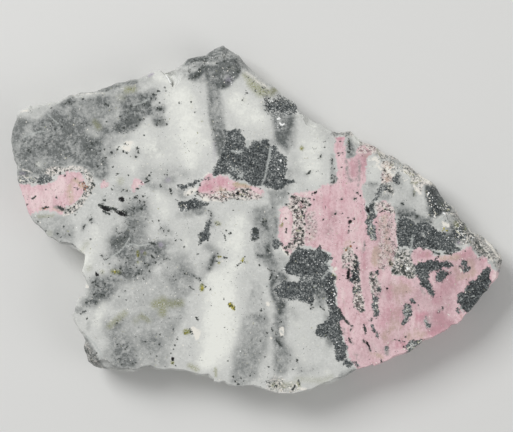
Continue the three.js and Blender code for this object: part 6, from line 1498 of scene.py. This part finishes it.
class Nodes:
    """Short names for adding a material's nodes. A text stands for the amount of that name on the mesh."""

    def __init__(self, material):
        self.tree = material.node_tree
        self.place = self.add("ShaderNodeTexCoord").outputs["Object"]
        self.count = 0

    def add(self, kind, inputs=(), **settings):
        """Adds a node with its inputs and settings."""
        node = self.tree.nodes.new(kind)
        for key, value in settings.items():
            setattr(node, key, value)
        for key, value in dict(inputs).items():
            self.join(value, node.inputs[key])
        return node

    def join(self, value, socket):
        """Feeds a socket with a value, with another node's output or with an amount on the mesh."""
        if isinstance(value, str):
            value = self.add("ShaderNodeAttribute", attribute_name=value).outputs["Fac"]
        if isinstance(value, bpy.types.NodeSocket):
            self.tree.links.new(value, socket)
        else:
            socket.default_value = value

    def maths(self, operation, *values):
        """One sum, product or other operation."""
        return self.add("ShaderNodeMath", enumerate(values), operation=operation).outputs[0]

    def product(self, first, second):
        """Two values multiplied."""
        return self.maths("MULTIPLY", first, second)

    def noise(self, size, detail=1.0, roughness=0.5, stretch=(1, 1, 1)):
        """Noise around zero, with a spread of about one and lumps of a size in millimetres."""
        self.count += 1
        scale = [1 / (size * MM * share) for share in stretch]
        shift = (NOISE_STEP[0] * self.count, NOISE_STEP[1] * self.count, NOISE_HEIGHT)
        moved = self.add("ShaderNodeMapping", {"Vector": self.place, "Location": shift, "Scale": scale})
        inputs = {"Vector": moved.outputs[0], "Scale": 1.0, "Detail": detail, "Roughness": roughness}
        wave = self.add("ShaderNodeTexNoise", inputs).outputs["Fac"]
        return self.product(self.maths("SUBTRACT", wave, 0.5), NOISE_SPREAD)

    def sum(self, *terms):
        """The sum of several values, or of (value, weight) pairs."""
        total = 0.0
        for term in terms:
            value, weight = term if isinstance(term, tuple) else (term, 1.0)
            total = self.maths("MULTIPLY_ADD", value, weight, total)
        return total

    def ramp(self, value, low, high, shape="SMOOTHSTEP"):
        """0 up to the low value and 1 from the high one, with a rise between that is smooth or LINEAR."""
        inputs = {"Value": value, "From Min": low, "From Max": high}
        return self.add("ShaderNodeMapRange", inputs, interpolation_type=shape).outputs["Result"]

    def blend(self, share, low, high):
        """One colour passing into another."""
        inputs = {MIX_SHARE: share, MIX_LOW: low, MIX_HIGH: high}
        return self.add("ShaderNodeMix", inputs, data_type="RGBA").outputs[MIX_RESULT]

    def cover(self, ground, colour, value, low, high):
        """The ground, covered with another colour where a value rises from low to high."""
        return self.blend(self.ramp(value, low, high), ground, colour)

    def thinly(self, strength, ground, colour, value, low, high):
        """The same with a cover that lets the ground through."""
        return self.blend(self.product(self.ramp(value, low, high), strength), ground, colour)


def quartz_colour(nodes):
    """White quartz with grey clouds, which are the more mottled the darker they are."""
    cloud = nodes.noise(3.4, 4.0, 0.6)
    curd = nodes.noise(0.8, 3.0, 0.7)
    grit = nodes.noise(0.38, 1.5)
    mottle = nodes.product("Grey", nodes.sum((cloud, 0.13), (curd, 0.15)))
    tone = nodes.sum(("Grey", 1.2), (cloud, 0.06), (curd, 0.06), (grit, 0.035), mottle)
    base = nodes.blend(nodes.ramp(tone, -0.2, 0.95, "LINEAR"), WHITE_QUARTZ, GREY_QUARTZ)
    base = nodes.cover(base, DARK_GREY, tone, 0.75, 1.35)
    return nodes.cover(base, CLEAR_WHITE, nodes.sum("White", (curd, 0.12), (cloud, 0.12)), 0.1, 1.0)


def pink_colour(nodes):
    """Pink pyroxmangite, streaked along the slab's width."""
    streak = nodes.noise(1.1, 3.0, 0.6, stretch=(1, 3.0, 1.6))
    mottle = nodes.noise(0.8, 3.0, 0.7)
    rose = nodes.sum("Rose", (streak, 0.16), (mottle, 0.12))
    base = nodes.cover(PINK_COLOUR, ROSE_COLOUR, rose, -0.2, 1.0)
    base = nodes.cover(base, PALE_PINK, nodes.sum("Pale", (mottle, 0.20), (streak, -0.12)), 0.15, 1.0)
    base = nodes.cover(base, TAN_COLOUR, nodes.sum("Tan", (streak, 0.14), (mottle, 0.12)), 0.15, 1.0)
    dusky = nodes.ramp(nodes.sum("Dusky", (mottle, 0.10), (streak, 0.06), 0.08), 0.0, 1.0, "LINEAR")
    base = nodes.blend(dusky, base, DUSKY_PINK)
    base = nodes.cover(base, SMUDGE_COLOUR, nodes.sum("Smudge", (mottle, 0.14)), 0.1, 1.0)
    return nodes.thinly(0.5, base, DUSKY_PINK, nodes.noise(0.4, 2.0), 0.0, 3.0)


def ore_colour(nodes):
    """Dark ore: fine light and dark grains, and patches where either prevails."""
    salt = nodes.noise(0.42, 2.0, 0.8)
    patch = nodes.noise(1.5, 3.0, 0.6)
    tone = nodes.sum((salt, 1.3), (patch, 0.4), ("OreTone", 2.0), 0.3)
    return nodes.cover(nodes.cover(ORE_DARK, ORE_MIDDLE, tone, -1.9, 0.3), ORE_LIGHT, tone, 0.5, 3.4)


def crumb_colour(nodes):
    """Ground of cream and grey crumbs with dark grains between them."""
    ground = nodes.cover(CRUMB_CREAM, CRUMB_GREY, nodes.noise(0.6, 2.0, 0.7), -0.6, 1.4)
    clots = nodes.sum(nodes.noise(1.3, 4.0, 0.75), (nodes.noise(0.5, 1.0), 0.35), ("Speckle", 0.6))
    return nodes.thinly(0.95, ground, SPECK, clots, 0.5, 1.0)


def crystal_colour(nodes):
    """Cream crystals, olive in places."""
    return nodes.cover(CREAM_COLOUR, CRYSTAL_OLIVE, nodes.noise(1.3, 1.0), -0.4, 1.2)


def mustard_colour(nodes):
    """Yellow grains with dark olive edges."""
    return nodes.cover(MUSTARD_DARK, MUSTARD_COLOUR, nodes.noise(0.6, 2.0, 0.7), -1.0, 1.0)


def rock_colour(nodes, fine):
    """Milky quartz, with the pink, the ore and every smaller marking laid over it in turn: painted shade
    among them in the holes and along the flake's step, and painted highlights last.
    """
    ragged = nodes.sum((nodes.noise(0.5, 2.0, 0.7), 0.16), (nodes.noise(1.4, 2.0), 0.14))
    broken = nodes.sum((ragged, 1.5), 1.0)
    colour = quartz_colour(nodes)
    colour = nodes.cover(colour, pink_colour(nodes), nodes.sum("Pink", ragged), -0.3, 0.3)
    colour = nodes.cover(colour, LILAC_COLOUR, nodes.sum("Lilac", (fine, 0.05)), 0.05, 1.1)
    colour = nodes.thinly(0.85, colour, crumb_colour(nodes), nodes.product("Salted", broken), 0.15, 0.95)
    olive = nodes.product("Olive", nodes.sum((fine, 0.2), 1.0))
    colour = nodes.cover(colour, OLIVE_COLOUR, olive, 0.0, 1.1)
    colour = nodes.cover(colour, CREAM_COLOUR, nodes.product("Cream", broken), 0.15, 0.8)
    ore = ore_colour(nodes)
    colour = nodes.cover(colour, ore, nodes.sum("Ore", ragged), -0.2, 0.2)
    seed = nodes.sum(nodes.noise(0.46, 2.0, 0.6), (nodes.noise(1.5, 2.0), 0.5))
    crowd = nodes.sum(("Speckle", 1.7), ("Salted", 0.7), ("Grey", 0.7))
    colour = nodes.thinly(0.8, colour, SPECK, nodes.sum(seed, crowd), 2.0, 2.9)
    colour = nodes.cover(colour, ore, nodes.sum("RoughOre", (fine, 0.5), (seed, 0.4)), -0.3, 0.3)
    crystals = nodes.sum(nodes.noise(0.7, 2.0, 0.6), ("Crystals", 2.0))
    colour = nodes.cover(colour, crystal_colour(nodes), crystals, 1.7, 2.4)
    # Dark grains, and the thin painted shadow along the flake's step
    colour = nodes.cover(colour, SPECK, nodes.sum("GrainAndStepShadow", (fine, 0.09), (seed, 0.04)), -0.16, 0.14)
    colour = nodes.thinly(0.75, colour, LIGHT_COLOUR, nodes.sum("Light", (fine, 0.08)), -0.2, 0.2)
    colour = nodes.cover(colour, RUST_COLOUR, "Rust", -0.12, 0.1)
    colour = nodes.cover(colour, mustard_colour(nodes), nodes.sum("Mustard", (fine, 0.12)), -0.14, 0.14)
    # Painted shade: the holes black
    colour = nodes.cover(colour, HOLE_SHADE_BLACK, nodes.sum("HoleShade", (seed, 0.1)), 0.0, 0.4)
    # Painted highlights: the glints, then sparkles strewn by noise
    colour = nodes.cover(colour, GLINT_COLOUR, "Glint", -0.08, 0.06)
    sparkle = nodes.sum(nodes.noise(0.45, 1.0), ("Sparkle", 1.6))
    return nodes.cover(colour, GLINT_COLOUR, sparkle, 2.6, 3.0)


def rock_material():
    """The rock: its colour, a shine that varies a little and a fine grain."""
    material = bpy.data.materials.new("Rock")
    material.use_nodes = True
    nodes = Nodes(material)
    fine = nodes.noise(0.34, 1.0)
    shader = material.node_tree.nodes["Principled BSDF"]
    nodes.join(rock_colour(nodes, fine), shader.inputs["Base Color"])
    nodes.join(nodes.sum((nodes.noise(0.6, 1.7), 0.03), 0.42), shader.inputs["Roughness"])
    nodes.join(0.35, shader.inputs["Specular IOR Level"])
    bump = nodes.add("ShaderNodeBump", {"Height": fine, "Strength": 0.2, "Distance": 0.01 * MM})
    nodes.join(bump.outputs[0], shader.inputs["Normal"])
    return material


def build_rock():
    """The slab, which takes the place of the solid."""
    made = rock_mesh()
    data = bpy.data.meshes.new("slab_rock")
    made.to_mesh(data)
    made.free()
    paint(data)
    unwrap(data)
    data.materials.append(rock_material())
    for face in data.polygons:
        face.use_smooth = False
    rock = bpy.data.objects.new("slab_rock", data)
    bpy.context.collection.objects.link(rock)
    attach(rock, "root")
    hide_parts("slab")


# The floor, the light and the camera

# Half the floor's width, in metres
FLOOR_HALF = 1.5

# The middle of the picture and the width that it shows, in millimetres, and the lens and its picture's width
VIEW_MIDDLE = (-0.25, 0.75)
VIEW_WIDTH = 128.25
LENS = 150.0
SENSOR = 36.0


def floor():
    """A plain, pale floor."""
    data = bpy.data.meshes.new("floor")
    corners = [(-1, -1, 0), (1, -1, 0), (1, 1, 0), (-1, 1, 0)]
    data.from_pydata([FLOOR_HALF * Vector(corner) for corner in corners], [], [(0, 1, 2, 3)])
    material = bpy.data.materials.new("Floor")
    material.use_nodes = True
    shader = material.node_tree.nodes["Principled BSDF"]
    shader.inputs["Base Color"].default_value = FLOOR_COLOUR
    shader.inputs["Roughness"].default_value = 0.9
    data.materials.append(material)
    plane = bpy.data.objects.new("floor", data)
    bpy.context.collection.objects.link(plane)


def soft_box(name, place, size, power):
    """A large soft light that faces the slab: place and size in metres, power in watts."""
    lamp = bpy.data.lights.new(name, "AREA")
    lamp.size = size
    lamp.energy = power
    box = bpy.data.objects.new(name, lamp)
    box.location = place
    box.rotation_euler = (-Vector(place)).to_track_quat("-Z", "Y").to_euler()
    bpy.context.collection.objects.link(box)


def studio():
    """Even light from all around, and two soft lights."""
    world = bpy.data.worlds.new("Studio")
    world.use_nodes = True
    background = world.node_tree.nodes["Background"]
    background.inputs["Color"].default_value = (1.0, 1.0, 1.0, 1.0)
    background.inputs["Strength"].default_value = 0.36
    bpy.context.scene.world = world
    bpy.context.scene.view_settings.view_transform = "Standard"
    soft_box("key", (-0.55, 0.5, 0.75), size=0.5, power=7.6)
    soft_box("fill", (0.7, -0.25, 0.5), size=0.6, power=1.7)


def camera():
    """A camera straight above the slab."""
    lens = bpy.data.cameras.new("camera")
    lens.sensor_width = SENSOR
    lens.lens = LENS
    lens.clip_start = 0.01
    eye = bpy.data.objects.new("camera", lens)
    x, y = VIEW_MIDDLE
    eye.location = (x * MM, y * MM, FACE_Z + VIEW_WIDTH * MM * LENS / SENSOR)
    bpy.context.collection.objects.link(eye)
    bpy.context.scene.camera = eye


camera()
floor()
studio()
build_rock()
